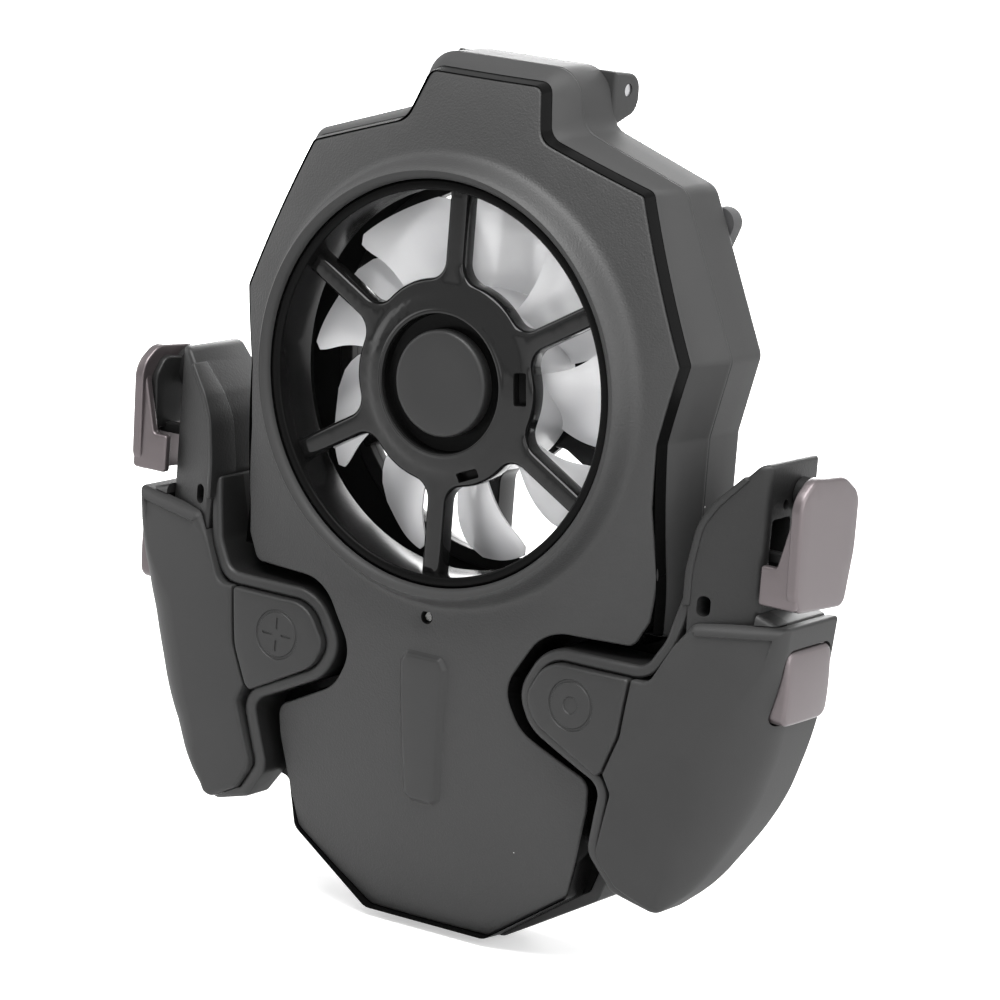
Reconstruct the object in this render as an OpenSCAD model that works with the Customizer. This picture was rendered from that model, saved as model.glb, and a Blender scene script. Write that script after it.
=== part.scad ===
// Phone grip with a cooling fan, two pull-out side wings, triggers and keys.
// Everything is drawn in plan: x to the viewer's right, y up the face, z towards the viewer.
// upright() then stands it up: the face looks along -Y and the phone side along +Y.
// The origin lies on the fan's axis, in the plane where the grip pads meet the phone.

/* [Body outline] */
// Height of the top tab above the fan's axis
tab_top = 40.8; // [40:0.1:43]
// Half width of the top tab at its top edge
tab_half = 11.6; // [10.5:0.1:12]
// Half width of the body at the shoulder
shoulder_x = 28.2; // [27.5:0.1:29]
// Height of the shoulder above the fan's axis
shoulder_y = 28.6; // [28:0.1:30]
// Half width of the body at its widest corner
corner_x = 36.7; // [36:0.1:37.2]
// Height of the widest corner above the fan's axis
corner_y = 8; // [6:0.5:10]
// Half width of the body beside the wings
side_x = 34.4; // [34:0.1:34.6]
// Depth of the lower edge below the fan's axis
foot_y = 72; // [71:0.5:76]
// Half width of the flat lower edge
foot_half = 9.6; // [9:0.1:11]

/* [Body depth] */
// Height of the grip pads, the gap between the back wall and the phone
pad_t = 2.4; // [2:0.1:3]
// Depth of the rear cover from its back wall to the parting line
rear_depth = 7.7; // [7.7:0.1:8.5]
// Height of the sloped rim above the parting line
rim_rise = 3.4; // [2.5:0.1:3.6]
// Height of the fan collar's edge above the parting line
collar_rise = 11.9; // [11.8:0.1:13]
// Height of the lower face above the parting line
face_rise = 8.6; // [8.4:0.1:9]
// Wall of the two covers
wall = 1.5; // [1.2:0.1:1.7]

/* [Fan] */
// Diameter of the round opening in the front cover
opening_d = 52; // [51:0.5:52.5]
// Wall of the glossy fan ring
ring_wall = 1.3; // [1:0.1:1.6]
// Length of the fan ring along its axis
ring_len = 8; // [7:0.5:8]
// Number of grille spokes
spoke_count = 6; // [4:1:8]
// Width of a grille spoke
spoke_w = 2.4; // [2:0.1:3]
// Depth of a grille spoke along the axis
spoke_t = 2.6; // [2:0.1:2.6]
// Diameter of the grille hub
grille_hub_d = 26.8; // [25:0.2:28]
// Diameter of the matte cap in the hub
cap_d = 14.9; // [13:0.1:16]
// Diameter over the blade tips
blade_tip_d = 47.4; // [44:0.2:48]
// Number of blades
blade_count = 9; // [5:1:11]
// Pitch of a blade against the fan's plane
blade_pitch = 34; // [25:1:40]
// Diameter of the rotor cup
rotor_d = 25; // [24:0.2:26]
// Length of the rotor cup along the axis
rotor_len = 8.4; // [8:0.2:8.6]
// Diameter of the motor shaft
shaft_d = 2; // [1.5:0.1:2.4]

/* [Wings] */
// Distance that a wing pulls out
wing_travel = 14; // [8:0.5:15]
// Diameter of a guide rod
rod_d = 2.4; // [2:0.1:2.6]
// Height of a wing's face above the parting line
wing_rise = 9.2; // [9:0.1:9.4]
// Wall of the wing shells
wing_wall = 1.5; // [1.2:0.1:1.8]

/* [Triggers and keys] */
// Diameter of a trigger's pivot pin
pin_d = 1.5; // [1.2:0.1:1.8]
// Thickness of a trigger plate
trigger_t = 1.5; // [1.2:0.1:1.8]
// Distance that a side key presses in
side_key_travel = 1.2; // [0.6:0.1:1.4]
// Distance that a back key presses in
back_key_travel = 0.8; // [0.5:0.1:1]
// Distance that the power button presses in
power_travel = 0.6; // [0.4:0.1:0.8]

/* [Top hook] */
// Diameter of the hook's pin
hook_pin_d = 1.6; // [1.2:0.1:2]
// Width of the hook's arm
hook_w = 15; // [12:0.5:15.5]
// Length of the hook's arm from its pin
hook_len = 13.5; // [11:0.5:15]

/* [Battery and board] */
// Width of the battery
battery_w = 20; // [16:0.5:20]
// Length of the battery
battery_len = 31; // [26:0.5:31]
// Thickness of the battery
battery_t = 6; // [4:0.1:6.2]
// Diameter of the LED hole
led_d = 1.4; // [1:0.1:2]

/* [Fasteners] */
// Thread diameter of the cover screws
screw_d = 2; // [1.6:0.1:2.2]
// Head diameter of the cover screws
head_d = 3.8; // [3.4:0.1:4]
// Head height of the cover screws
head_t = 1.2; // [1:0.1:1.3]

/* [Hidden] */
$fn = 64;
eps = 0.01;

// Heights above the phone plane
back_h = pad_t;
floor_h = back_h + wall;
parting_h = back_h + rear_depth;
ledge_h = parting_h + rim_rise;
collar_h = parting_h + collar_rise;
face_h = parting_h + face_rise;
wing_h = parting_h + wing_rise;

// Clearances
seat_gap = 0.1;      // between fixed pieces that sit in each other
part_gap = 0.3;      // between pieces that move past each other
run_gap = 0.05;      // radial, between a shaft or rod and its bore
fix_gap = 0.02;      // radial, between a pressed pin or bush and its seat

// Curvature of the faces
bay_dome_r = 155;    // lower face
bay_dome_y = -30;    // height of its crown
cap_dome_r = 100;    // upper face
cap_dome_rise = 3.7; // its crown above the lower face's crown
wing_dome_r = 100;
wing_dome = [24, -38];

// Outline tools

function unit(v) = v / norm(v);
function turn(a0, a1) = (a1 - a0 + 900) % 360 - 180;

// Points of a corner at p rounded by radius r between its neighbours a and b
function corner(a, p, b, r, steps = 5) =
    r < 0.01 ? [p] :
    let (u = unit(a - p), w = unit(b - p), half = acos(u * w) / 2)
    let (c = p + unit(u + w) * r / sin(half))
    let (s = p + u * r / tan(half) - c, e = p + w * r / tan(half) - c)
    let (a0 = atan2(s[1], s[0]), sweep = turn(a0, atan2(e[1], e[0])))
    [for (i = [0 : steps]) c + r * [cos(a0 + sweep * i / steps), sin(a0 + sweep * i / steps)]];

function xy(p) = [p[0], p[1]];
// Closed outline from corners given as [x, y, radius]
function rounded(c) = let (n = len(c)) [
    for (i = [0 : n - 1]) each corner(xy(c[(i + n - 1) % n]), xy(c[i]), xy(c[(i + 1) % n]), c[i][2])
];
// The right half of an outline and its mirror image
function both(c) = concat(c, [for (i = [len(c) - 1 : -1 : 0]) [-c[i][0], c[i][1], c[i][2]]]);
// Clockwise corners moved inwards by d
function inset(c, d) = let (n = len(c)) [
    for (i = [0 : n - 1])
    let (e0 = unit(xy(c[i]) - xy(c[(i + n - 1) % n])), e1 = unit(xy(c[(i + 1) % n]) - xy(c[i])))
    let (n0 = [e0[1], -e0[0]], n1 = [e1[1], -e1[0]], convex = e0[0] * e1[1] - e0[1] * e1[0] < 0)
    let (m = (n0 + n1) / (1 + n0 * n1))
    [c[i][0] + d * m[0], c[i][1] + d * m[1], max(0.2, c[i][2] + (convex ? -d : d))]
];

module upright() { rotate([90, 0, 0]) children(); }
module side(s) { if (s > 0) upright() children(); else upright() mirror([1, 0, 0]) children(); }
module slab(c, z0, z1) { translate([0, 0, z0]) linear_extrude(z1 - z0) polygon(rounded(c)); }
module rod(p, d, len, dir) {
    translate(p) rotate(dir == "x" ? [0, 90, 0] : dir == "y" ? [-90, 0, 0] : [0, 0, 0]) cylinder(d = d, h = len);
}

// Solid between two outlines of equal point count at two heights
module sloped(lower, upper, z0, z1) {
    n = len(lower);
    polyhedron(
        concat([for (p = lower) [p[0], p[1], z0]], [for (p = upper) [p[0], p[1], z1]]),
        concat(
            [[for (i = [n - 1 : -1 : 0]) i]], [[for (i = [0 : n - 1]) n + i]],
            [for (i = [0 : n - 1]) let (j = (i + 1) % n) [n + j, n + i, i]],
            [for (i = [0 : n - 1]) let (j = (i + 1) % n) [n + j, i, j]]
        )
    );
}

// Outlines, clockwise seen from the front

tab_foot = [tab_half + 1.6, tab_top - 7];
shelf_y = -58;
rim = both([
    [tab_half, tab_top, 3], [tab_foot[0], tab_foot[1], 3], [shoulder_x, shoulder_y, 2.5],
    [corner_x, corner_y, 2], [side_x, -2, 3], [side_x, -53, 3], [30, shelf_y, 1],
    [26, shelf_y - 0.8, 1.5], [23.9, 7.5 - foot_y, 2], [foot_half + 0.4, -foot_y - 0.5, 2]
]);
rim_end_y = -27.5;
upper_rim = both([
    [tab_half, tab_top, 3], [tab_foot[0], tab_foot[1], 3], [shoulder_x, shoulder_y, 2.5],
    [corner_x, corner_y, 2], [side_x, -2, 3], [side_x, rim_end_y, 0.5]
]);
rim_slope_w = 2;
recess_top = -29;
face = both([
    [tab_half - 3.3, tab_top - 2.3, 1.5], [tab_foot[0] - 3.1, tab_foot[1] - 1.6, 2.5],
    [shoulder_x - 3.2, shoulder_y - 1.2, 1], [corner_x - 3.6, corner_y - 0.9, 1],
    [side_x - 3.2, -3, 2], [side_x - 3.4, -11, 3], [side_x - 2.6, -19.5, 3],
    [side_x - 3.2, -25.6, 2], [side_x - 5, recess_top, 1.6], [17.2, recess_top, 4.4],
    [11.9, -37.6, 3.8], [14.6, -42.8, 3.2], [24.4, -47.6, 1.4], [24.2, -51.5, 4],
    [21.4, 8.2 - foot_y, 1.5], [foot_half - 0.2, -foot_y, 2]
]);

// Fan sizes
bore_r = opening_d / 2;
ring_r = bore_r - seat_gap;
duct_r = ring_r - ring_wall;
collar_r = bore_r + 2.4;
ring_top = collar_h - 0.4;
ring_low = ring_top - ring_len;
flange_r = ring_r + 1.2;
flange_t = 1.2;
spoke_top = collar_h - 3;
hub_top = collar_h - 2;
hub_low = spoke_top - spoke_t;
dish_floor = hub_top - 1.8;
dish_r = cap_d / 2 + 2.3;
guard_t = 1.2;
rotor_low = floor_h + 3.4;
rotor_top = rotor_low + rotor_len;
motor_plate_r = 12.5;
stator_r = rotor_d / 2 - 4;
led_y = -bore_r - 4.5;
sleeve_r = 2.5;
sleeve_h = floor_h + 0.4;

// Wing places
rod_h = floor_h + 2;
rod_ys = [-30.5, -45];
bush_len = 3.8;
bush_x = side_x - wall - seat_gap - bush_len;
bush_r = rod_d / 2 + 0.75;
rod_head_r = 1.9;
rod_head_len = 1;
spring_short = 2.4;  // length of a rod spring when it is fully pressed
rod_in_x = bush_x - wing_travel - spring_short - rod_head_len;
rod_out_x = side_x + 4.4;
wing_back_h = 2.2;
wing_in_x = side_x + 1;
tab_low_h = parting_h + 0.4;
tab_t = 1.2;
tab_top_h = tab_low_h + tab_t;

// Screws that close the body, as [x, y]
screw_at = [[22.6, 21.6], [27.8, -19.5], [13.6, 7 - foot_y]];
boss_r = 2.4;

module both_sides() { children(); mirror([1, 0, 0]) children(); }
module at_screws() { both_sides() for (p = screw_at) translate([p[0], p[1], 0]) children(); }

// Body

module face_domes(shrink = 0) {
    translate([0, bay_dome_y, face_h - bay_dome_r]) sphere(bay_dome_r - shrink, $fn = 200);
    translate([0, 0, face_h + cap_dome_rise - cap_dome_r]) sphere(cap_dome_r - shrink, $fn = 160);
}

// The raised bar on the lower face, narrower at its foot
bar_top = led_y - 4.9;
bar_len = 20;
bar_half = [3.6, 2.7];
bar_proud = 0.6;
module raised_bar() {
    outline = [
        [bar_half[0] - 0.8, bar_top, 0.6], [bar_half[0], bar_top - 1.2, 0.6],
        [bar_half[1], bar_top - bar_len + 0.7, 0.4], [bar_half[1] - 0.9, bar_top - bar_len, 0.4],
        [-bar_half[1] + 0.9, bar_top - bar_len, 0.4], [-bar_half[1], bar_top - bar_len + 0.7, 0.4],
        [-bar_half[0], bar_top - 1.2, 0.6], [-bar_half[0] + 0.8, bar_top, 0.6]
    ];
    intersection() {
        slab(outline, parting_h + 2, collar_h);
        translate([0, bay_dome_y, face_h - bay_dome_r]) sphere(bay_dome_r + bar_proud, $fn = 200);
    }
}

module front_cover() {
    color("dimgray") upright() difference() {
        union() {
            slab(inset(rim, wall + seat_gap), parting_h - wall, parting_h);
            sloped(rounded(upper_rim), rounded(inset(upper_rim, rim_slope_w)), parting_h, ledge_h);
            intersection() {
                slab(face, parting_h, collar_h);
                face_domes();
            }
            translate([0, 0, parting_h]) cylinder(r = collar_r, h = face_h - parting_h);
            translate([0, 0, face_h]) cylinder(r1 = collar_r, r2 = bore_r + 0.5, h = collar_h - face_h);
            raised_bar();
        }
        difference() {
            intersection() {
                slab(inset(face, wall), parting_h - wall - eps, collar_h);
                face_domes(wall);
            }
            translate([0, 0, ring_low + flange_t + eps]) cylinder(r = bore_r + wall, h = collar_h);
            at_screws() cylinder(r = boss_r, h = collar_h);
        }
        translate([0, 0, parting_h - wall - eps]) cylinder(r = bore_r, h = collar_rise + wall + 1);
        translate([0, 0, parting_h - wall - eps])
            cylinder(r = flange_r + seat_gap, h = ring_low + flange_t - parting_h + wall + eps);
        translate([0, led_y, parting_h]) cylinder(d = led_d, h = collar_rise);
        at_screws() translate([0, 0, parting_h - wall - eps]) cylinder(d = screw_d - 0.3, h = 5);
    }
}

// Lugs and socket room of the rear cover
lug_x = 8.8;
hook_axis_y = tab_top - 3;
hook_axis_h = 0.4;
lug_r = 2.8;
socket = [9.2, 7.2, 3.4];
socket_x = -3;
socket_h = floor_h + 1.1;
button_x = 6;
button_size = [3.6, 3.2];
button_h = socket_h + socket[2] / 2;
vent_r = duct_r - 0.4;

module lug_profile(x0, x1) {
    translate([x0, 0, 0]) rotate([90, 0, 90]) linear_extrude(x1 - x0) polygon(rounded([
        [hook_axis_y - lug_r - 1.5, back_h + 1, 0], [tab_top, back_h + 1, 0],
        [tab_top, hook_axis_h - lug_r, 1.6], [hook_axis_y - lug_r, hook_axis_h - lug_r, 2.4]
    ]));
}

module rear_cover() {
    color("dimgray") upright() difference() {
        union() {
            difference() {
                slab(rim, back_h, parting_h);
                difference() {
                    slab(inset(rim, wall), floor_h, parting_h + eps);
                    at_screws() cylinder(r = boss_r, h = parting_h - wall - seat_gap);
                    both_sides() for (y = rod_ys) translate([bush_x, y - 3, 0])
                        cube([side_x - bush_x, 6, parting_h - wall - seat_gap]);
                }
            }
            both_sides() lug_profile(lug_x, tab_half + 0.6);
        }
        translate([0, 0, back_h - eps]) cylinder(r = vent_r, h = wall + 2 * eps);
        at_screws() {
            translate([0, 0, back_h - eps]) cylinder(d = head_d + 0.4, h = head_t + 0.2);
            translate([0, 0, back_h - eps]) cylinder(d = screw_d + 0.3, h = parting_h);
        }
        both_sides() for (y = rod_ys) {
            rod([bush_x - eps, y, rod_h], bush_r * 2, bush_len + eps, "x");
            rod([bush_x, y, rod_h], rod_d + 0.8, side_x - bush_x + 1, "x");
        }
        rod([-tab_half - 2, hook_axis_y, hook_axis_h], hook_pin_d, 2 * tab_half + 4, "x");
        translate([socket_x, -foot_y - 1, socket_h + socket[2] / 2]) rotate([-90, 0, 0])
            linear_extrude(2.6) polygon(rounded([
                [-socket[0] / 2 - 0.2, 1.9, 1.6], [socket[0] / 2 + 0.2, 1.9, 1.6],
                [socket[0] / 2 + 0.2, -1.9, 1.6], [-socket[0] / 2 - 0.2, -1.9, 1.6]
            ]));
        translate([button_x - button_size[0] / 2 - 0.15, -foot_y - 1, button_h - button_size[1] / 2 - 0.15])
            cube([button_size[0] + 0.3, 2.6, button_size[1] + 0.3]);
    }
}

// Fan

module spoke_shape(r0, r1, w, flare) {
    // A spoke that widens by flare where it meets the hub
    steps = 5;
    rise = [for (i = [0 : steps]) let (a = 90 * i / steps) [r0 + flare * (1 - cos(a)), w / 2 + flare * (1 - sin(a))]];
    polygon(concat(rise, [[r1, w / 2], [r1, -w / 2]], [for (i = [steps : -1 : 0]) [rise[i][0], -rise[i][1]]]));
}

module fan_grille() {
    color([0.05, 0.05, 0.05]) upright() {
        difference() {
            union() {
                difference() {
                    union() {
                        translate([0, 0, ring_low]) cylinder(r = ring_r, h = ring_len);
                        translate([0, 0, ring_low]) cylinder(r = flange_r, h = flange_t);
                    }
                    translate([0, 0, ring_low - eps]) cylinder(r = duct_r, h = ring_len + 2 * eps);
                }
                for (i = [0 : spoke_count - 1]) rotate(i * 360 / spoke_count + 30)
                    translate([0, 0, hub_low]) linear_extrude(spoke_t)
                        spoke_shape(grille_hub_d / 2 - 1.4, duct_r + 0.4, spoke_w, 3.4);
                translate([0, 0, hub_low]) cylinder(d = grille_hub_d, h = spoke_top - hub_low - 0.6);
                translate([0, 0, spoke_top - 0.6])
                    cylinder(d1 = grille_hub_d, d2 = dish_r * 2 + 0.8, h = hub_top - spoke_top + 0.6);
            }
            translate([0, 0, dish_floor]) cylinder(r = dish_r, h = hub_top);
        }
    }
}

module hub_cap() {
    color([0.2, 0.2, 0.2]) upright() translate([0, 0, dish_floor]) {
        cylinder(d = cap_d, h = collar_h - 0.9 - dish_floor);
        translate([0, 0, collar_h - 0.9 - dish_floor]) cylinder(d1 = cap_d, d2 = cap_d - 0.6, h = 0.3);
    }
}

module rear_guard() {
    color([0.06, 0.06, 0.06]) upright() {
        difference() {
            union() {
                difference() {
                    translate([0, 0, floor_h]) cylinder(r = duct_r + 1.6, h = guard_t);
                    translate([0, 0, floor_h - eps]) cylinder(r = vent_r, h = guard_t + 2 * eps);
                }
                for (i = [0 : spoke_count - 1]) rotate(i * 360 / spoke_count + 30) {
                    translate([0, 0, floor_h + 0.1]) linear_extrude(guard_t - 0.2)
                        spoke_shape(motor_plate_r - 1, vent_r + 1, 3, 2.5);
                    // Deep rib that stands in the vent
                    translate([motor_plate_r - 1, -1.4, back_h + 0.2])
                        cube([vent_r - motor_plate_r + 0.8, 2.8, rotor_low - back_h - 0.8]);
                }
                translate([0, 0, floor_h]) cylinder(r = motor_plate_r, h = guard_t);
            }
            translate([0, 0, sleeve_h]) cylinder(r = sleeve_r, h = guard_t);
        }
    }
}

// Iron core with a coil on each of its poles
pole_count = 6;
core_len = 6;
module motor_stator() {
    low = rotor_low - 0.6;
    color("peru") upright() difference() {
        union() {
            for (i = [0 : pole_count - 1]) rotate(i * 360 / pole_count) {
                translate([3, -1.1, low + 0.2]) cube([stator_r - 3.6, 2.2, core_len - 0.4]);
                intersection() {
                    translate([stator_r - 1.4, -3.1, low]) cube([1.6, 6.2, core_len]);
                    translate([0, 0, low - 1]) cylinder(r = stator_r, h = core_len + 2);
                }
                translate([4.2, -1.7, low + 0.8]) cube([2.4, 3.4, core_len - 1.6]);
            }
            translate([0, 0, low]) cylinder(r = 3.6, h = core_len);
        }
        translate([0, 0, low - eps]) cylinder(r = sleeve_r, h = core_len + 2 * eps);
    }
}

module bearing_sleeve() {
    color("darkgoldenrod") upright() translate([0, 0, sleeve_h]) difference() {
        cylinder(r = sleeve_r - run_gap, h = rotor_low + core_len - floor_h);
        translate([0, 0, 0.6]) cylinder(r = shaft_d / 2 + run_gap, h = 20);
    }
}

module motor_board() {
    color("olivedrab") upright() translate([0, 0, floor_h + guard_t]) difference() {
        union() {
            cylinder(r = motor_plate_r - 2, h = 0.8);
            translate([6.4, -1.4, 0.8]) cube([2, 2.8, 0.6]);
            translate([-7.6, -1, 0.8]) cube([1.6, 2, 0.6]);
        }
        translate([0, 0, -eps]) cylinder(r = sleeve_r + seat_gap, h = 1);
    }
}

module impeller() {
    color([0.8, 0.82, 0.84, 0.7]) upright() {
        difference() {
            translate([0, 0, rotor_low]) cylinder(d = rotor_d, h = rotor_len);
            translate([0, 0, rotor_low - eps]) cylinder(d = rotor_d - 2, h = rotor_len - 1.2);
            translate([0, 0, rotor_low]) cylinder(d = shaft_d, h = rotor_len + 1);
        }
        intersection() {
            for (i = [0 : blade_count - 1]) rotate(i * 360 / blade_count)
                translate([rotor_d / 2 - 0.6, 0, rotor_low + rotor_len / 2]) rotate([blade_pitch, 0, 0])
                    translate([0, -6.4, -0.5]) cube([14, 12.8, 1]);
            translate([0, 0, rotor_low]) difference() {
                cylinder(d = blade_tip_d, h = rotor_len);
                translate([0, 0, -1]) cylinder(d = rotor_d - 0.6, h = rotor_len + 2);
            }
        }
    }
}

module magnet_ring() {
    color([0.3, 0.3, 0.32]) upright() translate([0, 0, rotor_low]) difference() {
        cylinder(d = rotor_d - 2 * (1 + fix_gap), h = rotor_len - 1.2 - seat_gap);
        translate([0, 0, -1]) cylinder(r = stator_r + 0.5, h = rotor_len);
        translate([0, 0, rotor_len - 2.2]) cylinder(d = rotor_d - 3, h = 2);
    }
}

module motor_shaft() {
    low = floor_h + 1.2;
    color("silver") upright() translate([0, 0, low]) cylinder(d = shaft_d, h = rotor_top - low);
}

// Electronics

battery_low = floor_h + seat_gap;
battery_top = battery_low + battery_t;
battery_y = -32.6;
board_t = 1;
board_h = battery_top + part_gap;
chip_t = 0.8;

module battery() {
    color([0.75, 0.76, 0.78]) upright() {
        slab([
            [battery_w / 2, battery_y, 1], [battery_w / 2, battery_y - battery_len, 1],
            [-battery_w / 2, battery_y - battery_len, 1], [-battery_w / 2, battery_y, 1]
        ], battery_low, battery_top);
    }
}

board_half = battery_w / 2 - 0.4;
board_len = 17;
led_size = 2;
led_t = 0.6;
// Chips as [x, y below the LED, width, length]
chips = [[-7, 12.5, 5, 5], [3, 10.5, 3, 3]];
module main_board() {
    top = board_h + board_t;
    y1 = led_y + led_size - 0.5;
    color("darkgreen") upright() {
        slab([
            [board_half, y1, 0.5], [board_half, y1 - board_len, 0.5],
            [-board_half, y1 - board_len, 0.5], [-board_half, y1, 0.5]
        ], board_h, top);
        for (c = chips) translate([c[0], led_y - c[1], top]) cube([c[2], c[3], chip_t]);
        translate([-led_size / 2, led_y - led_size / 2, top]) cube([led_size, led_size, led_t]);
    }
}

module light_pipe() {
    low = board_h + board_t + led_t;
    color([0.95, 0.95, 0.9]) upright() translate([0, led_y, low])
        cylinder(d = led_d - 2 * seat_gap, h = face_h - 0.6 - low);
}

module port_board() {
    y0 = 1.9 - foot_y;
    t = button_size[1];
    color("darkgreen") upright() {
        slab([[9, y0 + 5.6, 0.5], [9, y0, 0.5], [-9, y0, 0.5], [-9, y0 + 5.6, 0.5]], floor_h + seat_gap, socket_h);
        translate([button_x - 2, y0 + 2.2 + power_travel, socket_h]) cube([4, 2.4, t]);
    }
}

module charge_socket() {
    mid = socket_h + socket[2] / 2;
    color("silver") upright() translate([socket_x, -foot_y - 0.2, mid]) rotate([-90, 0, 0]) difference() {
        linear_extrude(socket[1]) polygon(rounded([
            [-socket[0] / 2, 1.7, 1.6], [socket[0] / 2, 1.7, 1.6],
            [socket[0] / 2, -1.7, 1.6], [-socket[0] / 2, -1.7, 1.6]
        ]));
        translate([0, 0, -1]) linear_extrude(socket[1]) polygon(rounded([
            [-socket[0] / 2 + 0.35, 1.35, 1.3], [socket[0] / 2 - 0.35, 1.35, 1.3],
            [socket[0] / 2 - 0.35, -1.35, 1.3], [-socket[0] / 2 + 0.35, -1.35, 1.3]
        ]));
    }
    color([0.1, 0.1, 0.1]) upright() translate([socket_x - 3.1, 1.2 - foot_y, mid - 0.35])
        cube([6.2, socket[1] - 1.6, 0.7]);
}

module power_button() {
    w = button_size[0];
    t = button_size[1];
    color([0.12, 0.12, 0.12]) upright() {
        translate([button_x - w / 2, -foot_y - 1.3, button_h - t / 2]) cube([w, 2.6, t]);
        translate([button_x - w / 2 - 0.4, -foot_y + 1.3, button_h - t / 2]) cube([w + 0.8, 0.8, t]);
        translate([button_x - 0.7, -foot_y + 2.1, button_h - 0.7]) cube([1.4, 1.9, 1.4]);
    }
}

module cover_screws() {
    color("silver") upright() at_screws() translate([0, 0, back_h + 0.1]) {
        difference() {
            cylinder(d = head_d, h = head_t);
            translate([0, 0, -eps]) cylinder(d = 1.6, h = 0.7, $fn = 6);
        }
        translate([0, 0, head_t]) cylinder(d = screw_d - 0.3, h = parting_h + 2 - back_h - head_t);
    }
}

// Pads as [x, y, angle, length]
pad_at = [[27.4, 20.6, -22, 10], [19, -53.25, 0, 17.5]];
pad_half = 2;
module grip_pads() {
    color([0.15, 0.15, 0.15]) upright() both_sides() for (p = pad_at)
        translate([p[0], p[1], 0]) rotate(p[2]) slab([
            [pad_half, p[3] / 2, pad_half - 0.1], [pad_half, -p[3] / 2, pad_half - 0.1],
            [-pad_half, -p[3] / 2, pad_half - 0.1], [-pad_half, p[3] / 2, pad_half - 0.1]
        ], 0, back_h);
}

module rod_bushes() {
    color("darkgoldenrod") upright() both_sides() for (y = rod_ys) difference() {
        rod([bush_x, y, rod_h], (bush_r - fix_gap) * 2, bush_len - seat_gap, "x");
        rod([bush_x - 1, y, rod_h], rod_d + 2 * run_gap, bush_len + 2, "x");
    }
}

module rod_springs() {
    low = rod_in_x + rod_head_len;
    color("silver") upright() both_sides() for (y = rod_ys) difference() {
        rod([low, y, rod_h], (rod_head_r - seat_gap) * 2, bush_x - low, "x");
        rod([low - 1, y, rod_h], rod_d + 0.4, bush_x - low + 2, "x");
    }
}

// Top hook

module hook_pin() {
    color("silver") upright() rod([-tab_half - 0.4, hook_axis_y, hook_axis_h], hook_pin_d, 2 * tab_half + 0.8, "x");
}

hook_barrel_r = back_h - hook_axis_h - 0.2;
hook_t = 2;
hook_lip = 1.3;
hook_low = hook_axis_h - hook_barrel_r;
grip_count = 5;
module top_hook() {
    pitch = (hook_w - 2.8) / (grip_count - 1);
    color([0.15, 0.15, 0.15]) upright() difference() {
        union() {
            rod([-hook_w / 2, hook_axis_y, hook_axis_h], hook_barrel_r * 2, hook_w, "x");
            translate([-hook_w / 2, hook_axis_y - hook_len, hook_low]) cube([hook_w, hook_len, hook_t]);
            translate([-hook_w / 2, hook_axis_y - hook_len, hook_low + hook_t - eps]) cube([hook_w, 2, hook_lip]);
            // Finger ribs on the outer side of the barrel
            for (i = [0 : grip_count - 1])
                translate([-hook_w / 2 + 0.8 + i * pitch, hook_axis_y - 1, hook_low - 0.5])
                    cube([1.2, 2, hook_barrel_r]);
        }
        rod([-hook_w, hook_axis_y, hook_axis_h], hook_pin_d + 2 * run_gap, 2 * hook_w, "x");
    }
}

module hook_pad() {
    color([0.3, 0.3, 0.3]) upright()
        translate([-hook_w / 2 + 1, hook_axis_y - hook_len + 2, hook_low + hook_t])
            cube([hook_w - 2, 0.8, hook_lip - 0.4]);
}

// Wings: every piece is drawn for the right side and mirrored for the left

lip_w = 1.6;
lip_drop = 1;
shell_gap = wing_wall + 0.3;
mouth_y = -22.8;
wing_outer = [[50.6, mouth_y, 0.4], [49, -36.5, 8], [44.4, -51, 6], [38, -61.6, 3]];
// Inner edge of a wing, from its foot up to the top of the lip
lip_edge = [
    [35, -63, 1.5], [28.8, -61.2, 1.5], [25.3, -56.4, 3.2], [27.2, -47.3, 1.6], [16.2, -42, 3],
    [13.8, -37.5, 3.5], [17.6, recess_top - 1.7, 4.2], [side_x - 2, recess_top - 1.7, 2.4],
    [side_x + 0.2, -27, 2], [side_x + 2.2, -19, 0.4]
];
base_outline = concat([for (p = wing_outer) [p[0] - shell_gap, p[1] + (p[1] < -60 ? 0.8 : 0), p[2]]], lip_edge);
cover_outline = concat(wing_outer, [
    [36, -63, 1.2], [30, -60, 1.5], [27.2, -56.2, 2.6], [29.4, -47.6, 1.6], [28.2, -45.2, 0.3],
    [30.3, -40, 3], [31.2, -32.4, 0.2], [33.6, -32.4, 2.2], [36.2, -27.4, 2], [38.4, mouth_y - 1.2, 1.4]
]);
bracket_end_y = -27;
bracket_side = 45.7;
bracket_outline = [
    [bracket_side, -4, 0.5], [bracket_side, bracket_end_y, 0.3], [wing_in_x + wing_wall + 0.3, bracket_end_y, 0.3],
    [wing_in_x + wing_wall + 0.3, -22, 2], [38.5, -11.5, 2], [40, -8.6, 1.5], [43.8, -3.4, 1]
];
bracket_low = wing_back_h + wing_wall + seat_gap;
bracket_top = [38, 16.6];
bracket_slope = 0.41;

// Screws of a wing, and the slope of its back towards the foot
wing_screw_at = [[41, -37], [39.4, -50.6]];
slope_y = -42;
back_slope = 0.4;
function back_at(y) = wing_back_h + max(0, slope_y - y) * back_slope;
function seat_at(p) = back_at(p[1]) + head_t + 0.3;
screw_pad_t = 1.2;

// Side key, trigger and switch places
key_y = [-35.6, -26];
key_h = [3, 14.4];
key_t = 1.6;
key_face_x = 50.8;
side_switch_x = 46.4;
board_y = [-43.2, -33.6];
wing_board_h = tab_top_h + seat_gap;
wing_board_top = wing_board_h + 0.8;
switch_t = 1.6;
back_switch = [23, -37.3];
pivot = [-7.6, 6.2];
trigger_x = 50.2;
boss_x = bracket_side + part_gap;
finger = [-15.8, 9.9];

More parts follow.
